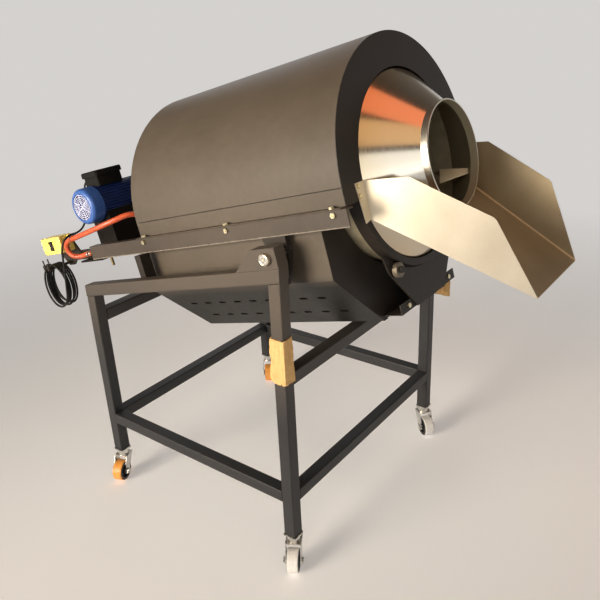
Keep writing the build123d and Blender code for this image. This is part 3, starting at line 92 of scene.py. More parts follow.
# %% [markdown]
# ## The camera
#
# The photograph was taken from the front corner, at about head height, looking down on the chute.
# Its place and turn follow from the straight edges of the stand, which is a square frame and so
# fixes the perspective.

# %% Camera
CAMERA_PLACE = (1.4254, -1.6673, 1.5994)
CAMERA_TURN = (66.298, 2.496, 36.621)
clear_selection()
bpy.ops.object.camera_add(
    location=CAMERA_PLACE, rotation=[math.radians(turn) for turn in CAMERA_TURN],
)
camera = bpy.context.object
camera.name = "portrait_camera"
camera.data.sensor_width = 36
camera.data.lens = 40.555
bpy.context.scene.camera = camera
print("camera", tuple(round(c, 3) for c in camera.location))

# %% [markdown]
# ## The gas hose and the leads
#
# A hose is one smooth line with a round section. A NURBS spline keeps bends easy, because its
# control points only pull on the line. The turns of the hanging mains lead are more points of the
# same spline, each turn a little different from the one before, as hand-wound cable is.

# %% Cords as splines
HOSE_R = 0.009
LEAD_R = 0.0035


def lay_cord(name, points, radius, node):
    """Round cord of one open spline through the pull of its points, in place of a solid."""
    curve = bpy.data.curves.new(name, "CURVE")
    curve.dimensions = "3D"
    curve.bevel_depth = 1.0
    curve.bevel_resolution = 5
    curve.use_fill_caps = True
    spline = curve.splines.new("NURBS")
    spline.points.add(len(points) - 1)
    for knot, place in zip(spline.points, points):
        knot.co = (*place, 1)
        knot.radius = radius
    spline.order_u = 3
    spline.use_endpoint_u = True
    spline.resolution_u = 8
    cord = bpy.data.objects.new(name, curve)
    bpy.context.scene.collection.objects.link(cord)
    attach(cord, "tilting_body")
    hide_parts(node)
    print(name, "points", len(points))
    return cord


# %% Gas hose and motor lead
hose_places = [
    (-1068, -364, -66), (-1100, -364, -66), (-1133, -375, -70), (-1154, -386, -62),
    (-1164, -391, -44), (-1161, -394, -22), (-1144, -395, -7), (-1116, -394, -3),
    (-1070, -391, 3), (-990, -378, 15), (-920, -356, 27), (-872, -306, 38),
    (-860, -246, 8), (-882, -214, -52), (-900, -195, -100), (-925, -170, -155),
    (-958, -145, -210), (-985, -112, -258), (-990, -66, -298), (-968, -22, -322),
    (-920, 0, -330), (-872, 0, -330),
]
hose = lay_cord(
    "hose_line", [at_rest(*place) for place in hose_places], HOSE_R, "gas_hose",
)
lead_places = [
    (-1121, -240, 173), (-1147, -240, 172), (-1168, -240.5, 159), (-1180, -242, 135),
    (-1187, -245, 106), (-1194, -250, 76), (-1203, -258, 42), (-1211, -276, 14),
    (-1215, -305, 3), (-1215, -338, 3),
]
motor_lead = lay_cord(
    "motor_lead_line", [at_rest(*place) for place in lead_places], LEAD_R,
    "motor_lead",
)

# %% Mains lead in its hanging turns
TURNS = 5.25
STEPS = 12
HANK_OUT = -0.432
HANK_TALL = 0.150
HANK_WIDE = 0.128
CREEP = 0.0086
SLACK = 0.005
PULL = 1.035
PLUG_WAY = Vector((-0.35, 0, 1)).normalized()
hook = at_rest(-1234, 0, -88)
hank_top = hook.z + 0.0088
mains_start = [
    (-1172, -362, 4), (-1160, -362, 4), (-1143, -363, 6), (-1125, -373, 11),
    (-1114, -394, 13), (-1113, -417, 6), (-1121, -431, -12), (-1133, -434, -36),
]
mains_places = [at_rest(*place) for place in mains_start]
for k in range(int(TURNS * STEPS) + 1):
    turn = k / STEPS
    slack = SLACK * math.sin(2.4 * turn + 0.4)
    tall = HANK_TALL + slack
    wide = HANK_WIDE + 0.6 * slack
    angle = -2 * math.pi * turn
    mains_places.append(Vector((
        hook.x + 0.5 * wide * PULL * math.cos(angle),
        HANK_OUT + CREEP * turn,
        hank_top - tall / 2 + 0.5 * tall * PULL * math.sin(angle),
    )))
tail = HANK_OUT + CREEP * TURNS
for back, low in ((0.040, 0.1515), (0.074, 0.140), (0.085, 0.112)):
    mains_places.append(Vector((hook.x - back, tail + 0.002, hank_top - low)))
plug_end = Vector((hook.x - 0.096, tail + 0.003, hank_top - 0.065))
mains_places += [plug_end - PLUG_WAY * 0.009, plug_end]
mains_lead = lay_cord("mains_lead_line", mains_places, LEAD_R, "mains_lead")

# %% [markdown]
# ## Hands for modelling
#
# The pieces that follow start from a primitive and are shaped in edit mode. A few helpers keep
# that short. The first ones add a block or a cylinder and open it. The next select faces, edges or
# points by a test, with the tests that come up most. The last ones apply a modifier, join pieces,
# and close a piece: its place goes into its mesh, and it is told which body carries it.

# %% Start a piece
def take(piece):
    """Select one piece alone."""
    clear_selection()
    piece.select_set(True)
    bpy.context.view_layer.objects.active = piece


def edit(piece):
    """Enter edit mode on one piece with nothing selected."""
    take(piece)
    bpy.ops.object.mode_set(mode="EDIT")
    bpy.ops.mesh.select_all(action="DESELECT")
    return piece


def block(size, place, turn=(0, 0, 0)):
    """New block at its size and place, open for editing."""
    clear_selection()
    bpy.ops.mesh.primitive_cube_add(size=1, scale=size, location=place, rotation=turn)
    return edit(bpy.context.object)


def cylinder(sides, radius, deep, place, turn):
    """New cylinder at its size and place, open for editing."""
    clear_selection()
    bpy.ops.mesh.primitive_cylinder_add(
        vertices=sides, radius=radius, depth=deep, location=place, rotation=turn,
    )
    return edit(bpy.context.object)


# %% Select by place
TINY = 1e-5
FACING = 0.999


def pick(kind, test):
    """Select what passes a test: FACE, EDGE or VERT."""
    bpy.ops.mesh.select_mode(type=kind)
    bpy.ops.mesh.select_all(action="DESELECT")
    mesh = bmesh.from_edit_mesh(bpy.context.object.data)
    kinds = {"FACE": mesh.faces, "EDGE": mesh.edges, "VERT": mesh.verts}
    found = [element for element in kinds[kind] if test(element)]
    for element in found:
        element.select_set(True)
    mesh.select_flush_mode()
    bmesh.update_edit_mesh(bpy.context.object.data)
    return len(found)


def every(element):
    """Test that everything passes."""
    return True


def facing(*ways):
    """Test for faces that look one of these ways in the piece's own axes."""
    return lambda face: any(face.normal.dot(Vector(way)) > FACING for way in ways)


def level_edge(edge):
    """Test for edges that lie across the piece's own upright axis."""
    return abs(edge.verts[0].co.z - edge.verts[1].co.z) < TINY


def edges_from(height):
    """Test for edges at a height in the piece's own axes, or over it."""
    return lambda edge: all(vertex.co.z > height - TINY for vertex in edge.verts)


UP = (0, 0, 1)
DOWN = (0, 0, -1)
print("facing means within", round(math.degrees(math.acos(FACING)), 1), "degrees")


# %% Modify, join and settle
SMOOTH = math.radians(35)


def modify(piece, kind, **settings):
    """Add one modifier and apply it."""
    take(piece)
    modifier = piece.modifiers.new(kind.lower(), kind)
    for key, value in settings.items():
        setattr(modifier, key, value)
    bpy.ops.object.modifier_apply(modifier=modifier.name)


def weld(*pieces):
    """Join pieces into the first one."""
    clear_selection()
    for piece in pieces:
        piece.select_set(True)
    bpy.context.view_layer.objects.active = pieces[0]
    bpy.ops.object.join()
    return pieces[0]


def settle(piece, name, body, slot, *nodes):
    """Close a piece: place in its mesh, smooth by angle, name, body, and hide the nodes it
    replaces; slot is not used.
    """
    take(piece)
    bpy.ops.object.transform_apply(location=True, rotation=True, scale=True)
    bpy.ops.object.shade_smooth_by_angle(angle=SMOOTH)
    piece.name = name
    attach(piece, body)
    if nodes:
        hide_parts(*nodes)
    print(name, "faces", len(piece.data.polygons))
    return piece


# %% [markdown]
# ## Boots and clips on the cords
#
# Where a lead enters a box it is held in a ribbed rubber boot that tapers to the lead's own
# thickness, and the hose is held on its two nipples by band clips. Both follow the cord, so they
# are swept along points read from its own line.

# %% Read a cord's line
def cord_line(cord):
    """Points along the middle of a cord, read from its spline without its thickness."""
    bare = cord.copy()
    bare.data = cord.data.copy()
    bare.data.bevel_depth = 0
    bpy.context.scene.collection.objects.link(bare)
    bpy.context.view_layer.update()
    mesh = bpy.data.meshes.new_from_object(
        bare.evaluated_get(bpy.context.evaluated_depsgraph_get()),
    )
    points = [vertex.co.copy() for vertex in mesh.vertices]
    bpy.data.objects.remove(bare)
    bpy.data.meshes.remove(mesh)
    return points


def along_line(points, distance):
    """Point at a distance from the start of a line."""
    left = distance
    for first, second in zip(points, points[1:]):
        step = (second - first).length
        if left <= step and step > 0:
            return first.lerp(second, left / step)
        left -= step
    return points[-1]


mains_line = cord_line(mains_lead)
lead_line = cord_line(motor_lead)
hose_line = cord_line(hose)
print("points read", len(mains_line), len(lead_line), len(hose_line))


# %% Sweep a sleeve along a line
def sweep(name, points, start, length, radii):
    """Round sleeve on part of a line, its radius given station by station."""
    clear_selection()
    curve = bpy.data.curves.new(name, "CURVE")
    curve.dimensions = "3D"
    curve.bevel_depth = 1.0
    curve.bevel_resolution = 6
    curve.use_fill_caps = True
    spline = curve.splines.new("POLY")
    spline.points.add(len(radii) - 1)
    for k, (knot, radius) in enumerate(zip(spline.points, radii)):
        knot.co = (*along_line(points, start + length * k / (len(radii) - 1)), 1)
        knot.radius = radius
    piece = bpy.data.objects.new(name, curve)
    bpy.context.scene.collection.objects.link(piece)
    take(piece)
    bpy.ops.object.convert(target="MESH")
    return bpy.context.object


# %% Ribbed boots at the boxes and the plug
BOOT = 0.026
BOOT_STATIONS = 29
BOOT_WALL = 0.0009
GROOVE = 0.0009
BOOT_ROOT = 0.0062
GLAND_ROOT = 0.0066


def boot_radii(wide):
    """Taper from a wide root to the lead, with a groove at every fourth station."""
    radii = []
    for k in range(BOOT_STATIONS):
        taper = wide + (LEAD_R + BOOT_WALL - wide) * k / (BOOT_STATIONS - 1)
        radii.append(taper - (GROOVE if k % 4 == 3 else 0.0))
    return radii


boots = []
for name, line, wide in (
    ("boot_mains_gland", mains_line, GLAND_ROOT), ("boot_plug", mains_line[::-1], BOOT_ROOT),
    ("boot_terminal", lead_line, BOOT_ROOT), ("boot_switch", lead_line[::-1], BOOT_ROOT),
):
    boot = sweep(name, line, 0.0, BOOT, boot_radii(wide))
    boots.append(settle(boot, name, "tilting_body", "black_plastic"))

# %% Band clips on the hose
CLIP = 0.012
CLIP_STATIONS = 7
CLIP_START = 0.007
BAND = 0.0013
BAND_EDGE = 0.0004
HOUSING = 0.009
HOUSING_OUT = 0.0042
clips = []
for name, line, outward in (
    ("clip_nipple", hose_line, Vector((0, -1, 0))),
    ("clip_manifold", hose_line[::-1], Vector((0, 0, 1))),
):
    edge = [HOSE_R + BAND_EDGE]
    band = sweep(
        name, line, CLIP_START, CLIP, edge + [HOSE_R + BAND] * (CLIP_STATIONS - 2) + edge,
    )
    middle = along_line(line, CLIP_START + CLIP / 2) + outward * (HOSE_R + HOUSING_OUT)
    housing = block([HOUSING] * 3, middle, SQUARE)
    pick("EDGE", every)
    bpy.ops.mesh.bevel(offset=0.0016, segments=3)
    pick("FACE", facing(UP))
    bpy.ops.mesh.inset(thickness=0.0012)
    bpy.ops.mesh.extrude_region_move(TRANSFORM_OT_translate={"value": OVER * 0.003})
    clips.append(settle(weld(band, housing), name, "tilting_body", "zinc_steel"))

# %% Start points of the three cords
at_rest(*hose_places[0])
at_rest(*lead_places[0])
at_rest(*mains_start[0])

# %% [markdown]
# ## The motor's ribbed housing
#
# The motor sheds its heat through ribs cast along its barrel. A cylinder with as many sides as ribs
# and gaps together gives the barrel, and every second side, inset a little, is pulled out as a rib.
# A bore leaves room for the shaft.

# %% Ribbed barrel
MOTOR_ALONG = -1064
MOTOR_OVER = 90
BARREL_BESIDE = -200
BARREL_LONG = 0.2
BARREL_R = 0.0535
BARREL_SIDES = 72
RIB = 0.0053
RIB_INSET = 0.0006
SHAFT_BORE = 0.0078


def on_motor(beside):
    """Point on the motor's axis, in millimetres from the drum's axis to the side."""
    return at_rest(MOTOR_ALONG, beside, MOTOR_OVER)


def every_second_side(face):
    """Test for one side of the barrel in two, counted round its axis."""
    centre = face.calc_center_median()
    side = round(math.atan2(centre.y, centre.x) / (2 * math.pi / BARREL_SIDES) - 0.5)
    return abs(face.normal.z) < 0.5 and side % 2 == 0


barrel = cylinder(BARREL_SIDES, BARREL_R, BARREL_LONG, on_motor(BARREL_BESIDE), SIDEWAYS)
ribs = pick("FACE", every_second_side)
bpy.ops.mesh.inset(thickness=RIB_INSET, use_individual=True)
bpy.ops.mesh.extrude_region_shrink_fatten(TRANSFORM_OT_shrink_fatten={"value": RIB})
whole_end = facing(UP, DOWN)
pick("FACE", lambda face: whole_end(face) and face.calc_center_median().xy.length < 0.001)
bpy.ops.mesh.inset(thickness=BARREL_R - SHAFT_BORE)
bpy.ops.mesh.delete(type="FACE")
pick("EDGE", lambda edge: edge.is_boundary)
bpy.ops.mesh.bridge_edge_loops()
settle(barrel, "motor_barrel", "tilting_body", "motor_paint", "motor_housing")
reach = max((v.co - on_motor(v.co.y * 1000)).length for v in barrel.data.vertices)
print("ribs", ribs, "outer radius", round(reach, 4))

# %% [markdown]
# ## The fan cowl
#
# The cowl is a pressed cup with a rolled edge, open to the motor, and a guard of rings on spokes
# closes its end. The cup is a cylinder without its ends, bevelled and given a wall. The guard is a
# piece of its own, of thin tori and three bars, because it is painted in a paler blue.

# %% Pressed cowl
COWL_BESIDE = -325
COWL_R = 0.061
COWL_HALF = 0.025
COWL_ROLL = 0.014
COWL_RIM = 0.002
COWL_WALL = 0.002
cowl = cylinder(72, COWL_R, 2 * COWL_HALF, on_motor(COWL_BESIDE), SIDEWAYS)
pick("EDGE", edges_from(COWL_HALF))
bpy.ops.mesh.bevel(offset=COWL_ROLL, segments=7)
pick("FACE", facing(DOWN))
bpy.ops.mesh.delete(type="FACE")
pick("FACE", facing(UP))
bpy.ops.mesh.inset(thickness=COWL_RIM)
bpy.ops.mesh.delete(type="FACE")
modify(cowl, "SOLIDIFY", thickness=COWL_WALL, offset=-1.0)
settle(cowl, "fan_cowl", "tilting_body", "fan_paint", "fan_cover")

# %% Guard of rings and spokes
RINGS = (0.0415, 0.0345, 0.0275, 0.0205, 0.0135)
RING_BESIDE = -348.2
RING_WIRE = 0.0018
SPOKE = (0.094, 0.0022, 0.004)
SPOKE_BESIDE = -347.2
SPOKE_TURNS = (15, 75, 135)
wires = []
for ring in RINGS:
    clear_selection()
    bpy.ops.mesh.primitive_torus_add(
        location=on_motor(RING_BESIDE), rotation=SIDEWAYS, major_radius=ring,
        minor_radius=RING_WIRE, major_segments=64, minor_segments=10,
    )
    wires.append(bpy.context.object)
for turn in SPOKE_TURNS:
    wires.append(block(SPOKE, on_motor(SPOKE_BESIDE), (0, math.radians(turn), 0)))
    pick("EDGE", every)
    bpy.ops.mesh.bevel(offset=0.0006, segments=2)
guard = settle(weld(*wires), "fan_guard", "tilting_body", "fan_paint")

# %% [markdown]
# ## The terminal box
#
# The motor's leads end in a moulded box on top of the barrel: a narrow foot, a wider lid with round
# corners that stands over it, and a gland with a six-sided nut for the lead. Foot and lid are
# blocks at their size whose upright edges are rounded first and whose top edge is rolled after
# that, and the lid simply sits over the foot.

# %% Foot and lid
TERM_LOW = (-1109, -290, 143)
TERM_HIGH = (-1019, -172, 197)
TERM_LID = 178
TERM_STEP = 7
TERM_INTO_LID = 3


def moulded(low, high, corner, rim):
    """Box with round upright edges and a rolled top edge, square to the tilted body."""
    size = [(b - a) / 1000 for a, b in zip(low, high)]
    box = block(size, at_rest(*[(a + b) / 2 for a, b in zip(low, high)]), SQUARE)
    pick("EDGE", lambda edge: not level_edge(edge))
    bpy.ops.mesh.bevel(offset=corner, segments=6)
    pick("EDGE", edges_from(size[2] / 2))
    bpy.ops.mesh.bevel(offset=rim, segments=5)
    return box


foot = moulded(
    (TERM_LOW[0] + TERM_STEP, TERM_LOW[1] + TERM_STEP, TERM_LOW[2]),
    (TERM_HIGH[0] - TERM_STEP, TERM_HIGH[1] - TERM_STEP, TERM_LID + TERM_INTO_LID),
    corner=0.007, rim=0.001,
)
lid = moulded((TERM_LOW[0], TERM_LOW[1], TERM_LID), TERM_HIGH, corner=0.015, rim=0.006)
print("foot and lid", tuple(round(side, 3) for side in lid.dimensions))

# %% Gland, and the box in one
GLAND = lead_places[0]
gland = []
for sides, wide, start, end in ((32, 0.0068, 0, 26), (6, 0.0088, 4, 11)):
    middle = at_rest(GLAND[0] + (start + end) / 2, GLAND[1], GLAND[2])
    gland.append(cylinder(sides, wide, (end - start) / 1000, middle, LENGTHWISE))
    pick("EDGE", level_edge)
    bpy.ops.mesh.bevel(offset=0.0012, segments=3)
terminal = settle(
    weld(foot, lid, *gland), "terminal_cover", "tilting_body", "black_plastic", "terminal_box",
)

# %% [markdown]
# ## Lips on the guide fins
#
# Inside the mouth four fins lead the roast forward. Two of them, one opposite the other, have a
# bent lip along their front edge, and such a lip catches the light in the dark mouth. It is a thin
# bar along the fin's edge, narrowed at its outer end. It is made once over the axis, and its copies
# are turned about the axis to their fins.

# %% Two bent lips
FIN_TURNS = (65, 245)
FIN_OUTER = (92, 152)
FIN_INNER = (20, 118)
LIP_WIDE = 40
LIP_NARROW = 14
LIP_THICK = 0.0016
lip_rise = math.atan2(FIN_OUTER[1] - FIN_INNER[1], FIN_OUTER[0] - FIN_INNER[0])
lip_bar = block(
    (math.dist(FIN_OUTER, FIN_INNER) / 1000, LIP_WIDE / 1000, LIP_THICK),
    at_rest((FIN_OUTER[0] + FIN_INNER[0]) / 2, LIP_WIDE / 2, (FIN_OUTER[1] + FIN_INNER[1]) / 2),
    (0, -TILT - lip_rise, 0),
)
pick("VERT", lambda vertex: vertex.co.x > 0 and vertex.co.y > 0)
bpy.ops.transform.translate(value=(0, (LIP_NARROW - LIP_WIDE) / 1000, 0))
pick("EDGE", every)
bpy.ops.mesh.bevel(offset=0.0004, segments=2)
clear_selection()
lips = []
for turn in FIN_TURNS:
    lip = lip_bar.copy()
    lip.data = lip_bar.data.copy()
    bpy.context.scene.collection.objects.link(lip)
    spin = Matrix.Rotation(math.radians(turn), 4, ALONG)
    about_axis = Matrix.Translation(FACE) @ spin @ Matrix.Translation(-FACE)
    lip.matrix_world = about_axis @ lip_bar.matrix_world
    lips.append(lip)
bpy.data.objects.remove(lip_bar)
fin_lips = settle(weld(*lips), "fin_lips", "drum", "stainless")

# %% [markdown]
# ## The seam along the hood
#
# The round of the hood ends in a narrow fold over each side rail. The fold shows as one fine dark
# line from end to end. A thin rod, drawn out to the hood's length and half sunk in the sheet, gives
# that line a little depth.

# %% Fold lines on both sides
HOOD_LENGTH = 0.8
HOOD_SIDE = 350.3
SEAM_R = 0.0013
SEAM_FRONT = -2
SEAM_OVER = 6
SEAM_SHORT = 0.014
rods = []
for side in (-HOOD_SIDE, HOOD_SIDE):
    rods.append(cylinder(12, SEAM_R, 0.01, at_rest(SEAM_FRONT, side, SEAM_OVER), LENGTHWISE))
    pick("FACE", facing(DOWN))
    bpy.ops.transform.translate(value=ALONG * (SEAM_SHORT - HOOD_LENGTH))
    pick("EDGE", level_edge)
    bpy.ops.mesh.bevel(offset=0.0005, segments=2)
seams = settle(weld(*rods), "hood_folds", "tilting_body", "casing_paint")

# %% [markdown]
# ## Card sleeves on the front legs
#
# Loose brown card from the packing is still wrapped round both front legs. Each sleeve starts as a
# box without the faces that are open, is divided finely, and is crumpled by a cloud pattern that
# pushes mostly outwards, away from the leg. Its edges are torn, so their points are scattered a
# little, and the wall gets its thickness last.

# %% How card is crumpled
CARD = 0.003
CARD_CUTS = 22
CRUMPLE = 0.008
CRUMPLE_MIDDLE = 0.42
TORN_FOOT = 0.0035
TORN_TOP = 0.002
FLARE_SHARES = (0.9, 0.6, 0.3, 0.0, -0.3, -0.6)
crumple = bpy.data.textures.new("card_crumple", "CLOUDS")
crumple.noise_scale = 0.035
crumple.noise_depth = 3


def card_wrap(low, high, open_ways, flare, seed):
    """Box of card that is open some ways, flared downwards, crumpled and torn at its edges."""
    middle = (low + high) / 2
    half = (high.z - low.z) / 2
    wrap = block(high - low, middle)
    pick("FACE", facing(*open_ways))
    bpy.ops.mesh.delete(type="FACE")
    pick("FACE", every)
    bpy.ops.mesh.subdivide(number_cuts=CARD_CUTS)
    for share in FLARE_SHARES:
        pick("VERT", lambda vertex: vertex.co.z < half * share)
        bpy.ops.transform.resize(value=(flare, flare, 1), center_override=middle)
    pick("VERT", lambda vertex: vertex.co.z < -half + TINY)
    bpy.ops.transform.vertex_random(offset=TORN_FOOT, seed=seed)
    pick("VERT", lambda vertex: vertex.co.z > half - TINY)
    bpy.ops.transform.vertex_random(offset=TORN_TOP, seed=seed + 1)
    modify(wrap, "DISPLACE", texture=crumple, strength=CRUMPLE, mid_level=CRUMPLE_MIDDLE)
    modify(wrap, "SOLIDIFY", thickness=CARD, offset=1.0)
    return wrap


print("card thickness", CARD)

# %% Two sleeves
GAP = 0.001
EDGE_BACK = 0.006
NEAR_FOOT = 0.656
FAR_TOP = 0.660
FAR_FOOT_UP = 0.004
near_low, near_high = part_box("leg_front_near")
far_low, far_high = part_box("leg_front_far")
sleeve_low, sleeve_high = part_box("leg_sleeves")
near_wrap = card_wrap(
    Vector((near_low[0] - GAP, near_low[1] - GAP, NEAR_FOOT)),
    Vector((near_high[0] + GAP, near_high[1] - EDGE_BACK, sleeve_high[2])),
    (UP, DOWN, (0, 1, 0)), flare=1.012, seed=4,
)
far_wrap = card_wrap(
    Vector((far_low[0] - GAP, far_low[1] + EDGE_BACK, sleeve_low[2] + FAR_FOOT_UP)),
    Vector((sleeve_high[0] - EDGE_BACK, far_high[1] + GAP, FAR_TOP)),
    (UP, DOWN, (0, -1, 0), (1, 0, 0)), flare=1.004, seed=9,
)
wraps = settle(weld(near_wrap, far_wrap), "card_wraps", "stand", "card", "leg_sleeves")

# %% [markdown]
# ## Caps on the pivots
#
# Each pivot bolt ends in a round dished cap with a raised lip. It starts as a short cylinder whose
# rim is rounded and whose outer face is inset for the lip, pushed in for the dish, and inset again
# for the small boss in the middle.

# %% Dished caps
CAP_R = 0.0165
CAP_DEEP = 0.013
CAP_OUT = 0.001
CAP_ROUND = 0.0028
CAP_LIP = 0.0035
DISH_DEEP = 0.0022
DISH_WIDE = 0.0045
BOSS_HIGH = 0.0018
BOSS_EDGE = 0.0012
pivot = joints["body_tilt"]["pos_m"]
bolt_low, bolt_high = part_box("pivot_bolts")
dished = []
for end, inward in ((bolt_low[1], 1), (bolt_high[1], -1)):
    middle = (pivot[0], end + inward * (CAP_DEEP / 2 - CAP_OUT), pivot[2])
    dished.append(cylinder(48, CAP_R, CAP_DEEP, middle, (math.radians(90 * inward), 0, 0)))
    pick("EDGE", edges_from(CAP_DEEP / 2))
    bpy.ops.mesh.bevel(offset=CAP_ROUND, segments=4)
    pick("FACE", facing(UP))
    bpy.ops.mesh.inset(thickness=CAP_LIP)
    bpy.ops.transform.translate(value=(0, inward * DISH_DEEP, 0))
    bpy.ops.mesh.inset(thickness=DISH_WIDE)
    boss = (0, -inward * BOSS_HIGH, 0)
    bpy.ops.mesh.extrude_region_move(TRANSFORM_OT_translate={"value": boss})
    bpy.ops.mesh.inset(thickness=BOSS_EDGE)
caps = settle(weld(*dished), "pivot_caps", "stand", "zinc_steel")

# %% [markdown]
# ## A small language for finishes
#
# A finish is a Principled shader with a few sockets fed by noise. Written as node code that is
# long, so three small classes shorten it: one wraps a socket so that sums can be typed as sums,
# one makes the nodes of a tree, and one owns a material with its shader.

# %% Sockets that add up
class Wire:
    """A shader socket that can be used in sums."""

    def __init__(self, tree, socket):
        self.tree = tree
        self.socket = socket

    def sum(self, operation, first, second):
        """Math node on two values, as a new wire."""
        node = self.tree.nodes.new("ShaderNodeMath")
        node.operation = operation
        for socket, value in zip(node.inputs, (first, second)):
            plug_in(self.tree, socket, value)
        return Wire(self.tree, node.outputs[0])

    def __add__(self, other):
        return self.sum("ADD", self, other)

    def __sub__(self, other):
        return self.sum("SUBTRACT", self, other)

    def __rsub__(self, other):
        return self.sum("SUBTRACT", other, self)

    def __mul__(self, other):
        return self.sum("MULTIPLY", self, other)

    def __truediv__(self, other):
        return self.sum("DIVIDE", self, other)

    def __rtruediv__(self, other):
        return self.sum("DIVIDE", other, self)

    def __gt__(self, other):
        return self.sum("GREATER_THAN", self, other)

    def __lt__(self, other):
        return self.sum("LESS_THAN", self, other)

    __radd__ = __add__
    __rmul__ = __mul__


def plug_in(tree, socket, value):
    """Feed a socket from a wire, or set it to a plain value."""
    if isinstance(value, Wire):
        tree.links.new(value.socket, socket)
    else:
        socket.default_value = value


# %% Trees that make nodes
class Nodes:
    """A node tree, with short ways to add to it."""

    def __init__(self, tree):
        self.tree = tree

    def node(self, kind, settings=None, inputs=None, output=0):
        """One node: its settings first, then its sockets. Output None gives all its wires."""
        made = self.tree.nodes.new("ShaderNode" + kind)
        for key, value in (settings or {}).items():
            if key == "stops":
                ramp = made.color_ramp.elements
                while len(ramp) < len(value):
                    ramp.new(0.5)
                for stop, (place, colour) in zip(ramp, value):
                    stop.position = place
                    stop.color = colour
            else:
                setattr(made, key, value)
        for key, value in (inputs or {}).items():
            plug_in(self.tree, made.inputs[key], value)
        if output is None:
            return [Wire(self.tree, socket) for socket in made.outputs]
        return Wire(self.tree, made.outputs[output])

    def room(self):
        """Coordinates of the room, in metres."""
        return self.node("TexCoord", output="Object")

    def body(self):
        """Coordinates along, beside and over the drum's axis."""
        moved = self.vector("SUBTRACT", self.room(), FACE)
        return self.node(
            "VectorRotate", {"rotation_type": "Y_AXIS"}, {"Vector": moved, "Angle": TILT},
        )

    def parts_of(self, vector):
        return self.node("SeparateXYZ", None, {0: vector}, output=None)

    def join(self, x, y, z):
        return self.node("CombineXYZ", None, {0: x, 1: y, 2: z})

    def vector(self, operation, first, second, output=0):
        return self.node("VectorMath", {"operation": operation}, {0: first, 1: second}, output)

    def dot(self, first, second):
        return self.vector("DOT_PRODUCT", first, second, output=1)

    def root(self, value):
        return self.node("Math", {"operation": "SQRT"}, {0: value})

    def larger(self, first, second):
        return self.node("Math", {"operation": "MAXIMUM"}, {0: first, 1: second})

    def noise(self, vector, scale, detail=3.0, rough=0.5):
        return self.node("TexNoise", None, {
            "Vector": vector, "Scale": scale, "Detail": detail, "Roughness": rough,
        })

    def ramp(self, value, *stops):
        return self.node("ValToRGB", {"stops": stops}, {"Fac": value})

    def level(self, value, low, high, start=0.3, end=0.7):
        """Spread what lies from start to end over low to high."""
        return self.node("MapRange", {"clamp": True}, {
            "Value": value, "From Min": start, "From Max": end, "To Min": low, "To Max": high,
        })

    def blend(self, amount, first, second):
        """First colour where amount is 0, second where it is 1."""
        return self.node("Mix", {"data_type": "RGBA"}, {0: amount, 6: first, 7: second}, output=2)


# %% Materials
class Finish(Nodes):
    """One material: its shader and the nodes that feed it."""

    def __init__(self, name, **constants):
        self.material = bpy.data.materials.new(name)
        self.material.use_nodes = True
        super().__init__(self.material.node_tree)
        self.shader = self.tree.nodes["Principled BSDF"]
        self.feed(**constants)

    def feed(self, **sockets):
        """Set or feed sockets of the shader by name, with _ for a space."""
        for key, value in sockets.items():
            plug_in(self.tree, self.shader.inputs[key.replace("_", " ")], value)

    def bump(self, height, strength, distance):
        self.feed(Normal=self.node("Bump", None, {
            "Height": height, "Strength": strength, "Distance": distance,
        }))

    def wear(self, *names):
        """Put this finish on steel nodes or on new pieces."""
        for name in names:
            piece = steel[name] if isinstance(name, str) else name
            piece.data.materials.clear()
            piece.data.materials.append(self.material)
        print(self.material.name, "on", len(names))


def shade(red, green, blue):
    """Colour with its alpha, in scene-linear values."""
    return (red, green, blue, 1.0)


# %% [markdown]
# ## Enamel on the casing and the stand
#
# Both are mild steel under a dark satin enamel that was sprayed in a workshop: a fine orange peel,
# slow changes in sheen, and a little dust. Noise at three scales gives them, with the roughness and
# the colour moving together. Low on the casing, where the burners are, the colour is darkened as
# painted shade of the box slopes that face down, the rails carry a painted highlight along their
# lower edge, and the stand is painted lighter on its upper half as painted light.

# %% Sprayed enamel
def enamel(name, dark, light, gloss, shine):
    """Satin enamel: its finish, its slow cloud and its colour, which is not fed yet."""
    coat = Finish(name, Specular_IOR_Level=shine)
    place = coat.room()
    cloud = coat.noise(place, 3.2, 4.0)
    dust = coat.noise(place, 46.0, 5.0, 0.65)
    peel = coat.noise(place, 620.0, 2.0)
    tone = coat.level(cloud * 0.65 + dust * 0.35, 0.0, 1.0, start=0.36, end=0.64)
    coat.feed(Roughness=coat.level(cloud * 0.5 + dust * 0.5, gloss - 0.05, gloss + 0.09))
    coat.bump(peel * 0.7 + dust * 0.3, 0.16, 0.0006)
    return coat, cloud, coat.blend(tone, dark, light)


# %% Casing, with painted shade below
SHADE_LOW = -0.235
SHADE_HIGH = -0.195
PAINTED_SHADE = shade(0.009, 0.008, 0.006)
casing_enamel, cloud, colour = enamel(
    "casing_enamel", shade(0.060, 0.047, 0.034), shade(0.083, 0.066, 0.048), gloss=0.47, shine=0.35,
)
over = casing_enamel.parts_of(casing_enamel.body())[2]
# Painted shade: low on the casing, over the box slopes that face down, the colour turns near-black.
shade_below = casing_enamel.level(over + cloud * 0.03, 1.0, 0.0, SHADE_LOW, SHADE_HIGH)
casing_enamel.feed(Base_Color=casing_enamel.blend(shade_below, colour, PAINTED_SHADE))
casing_enamel.wear(
    "hood_shell", "hood_flanges", "hood_rear_plate", "box_side_near", "box_side_far", "box_floor",
    "box_rear_panel", "bearing_beam",
)
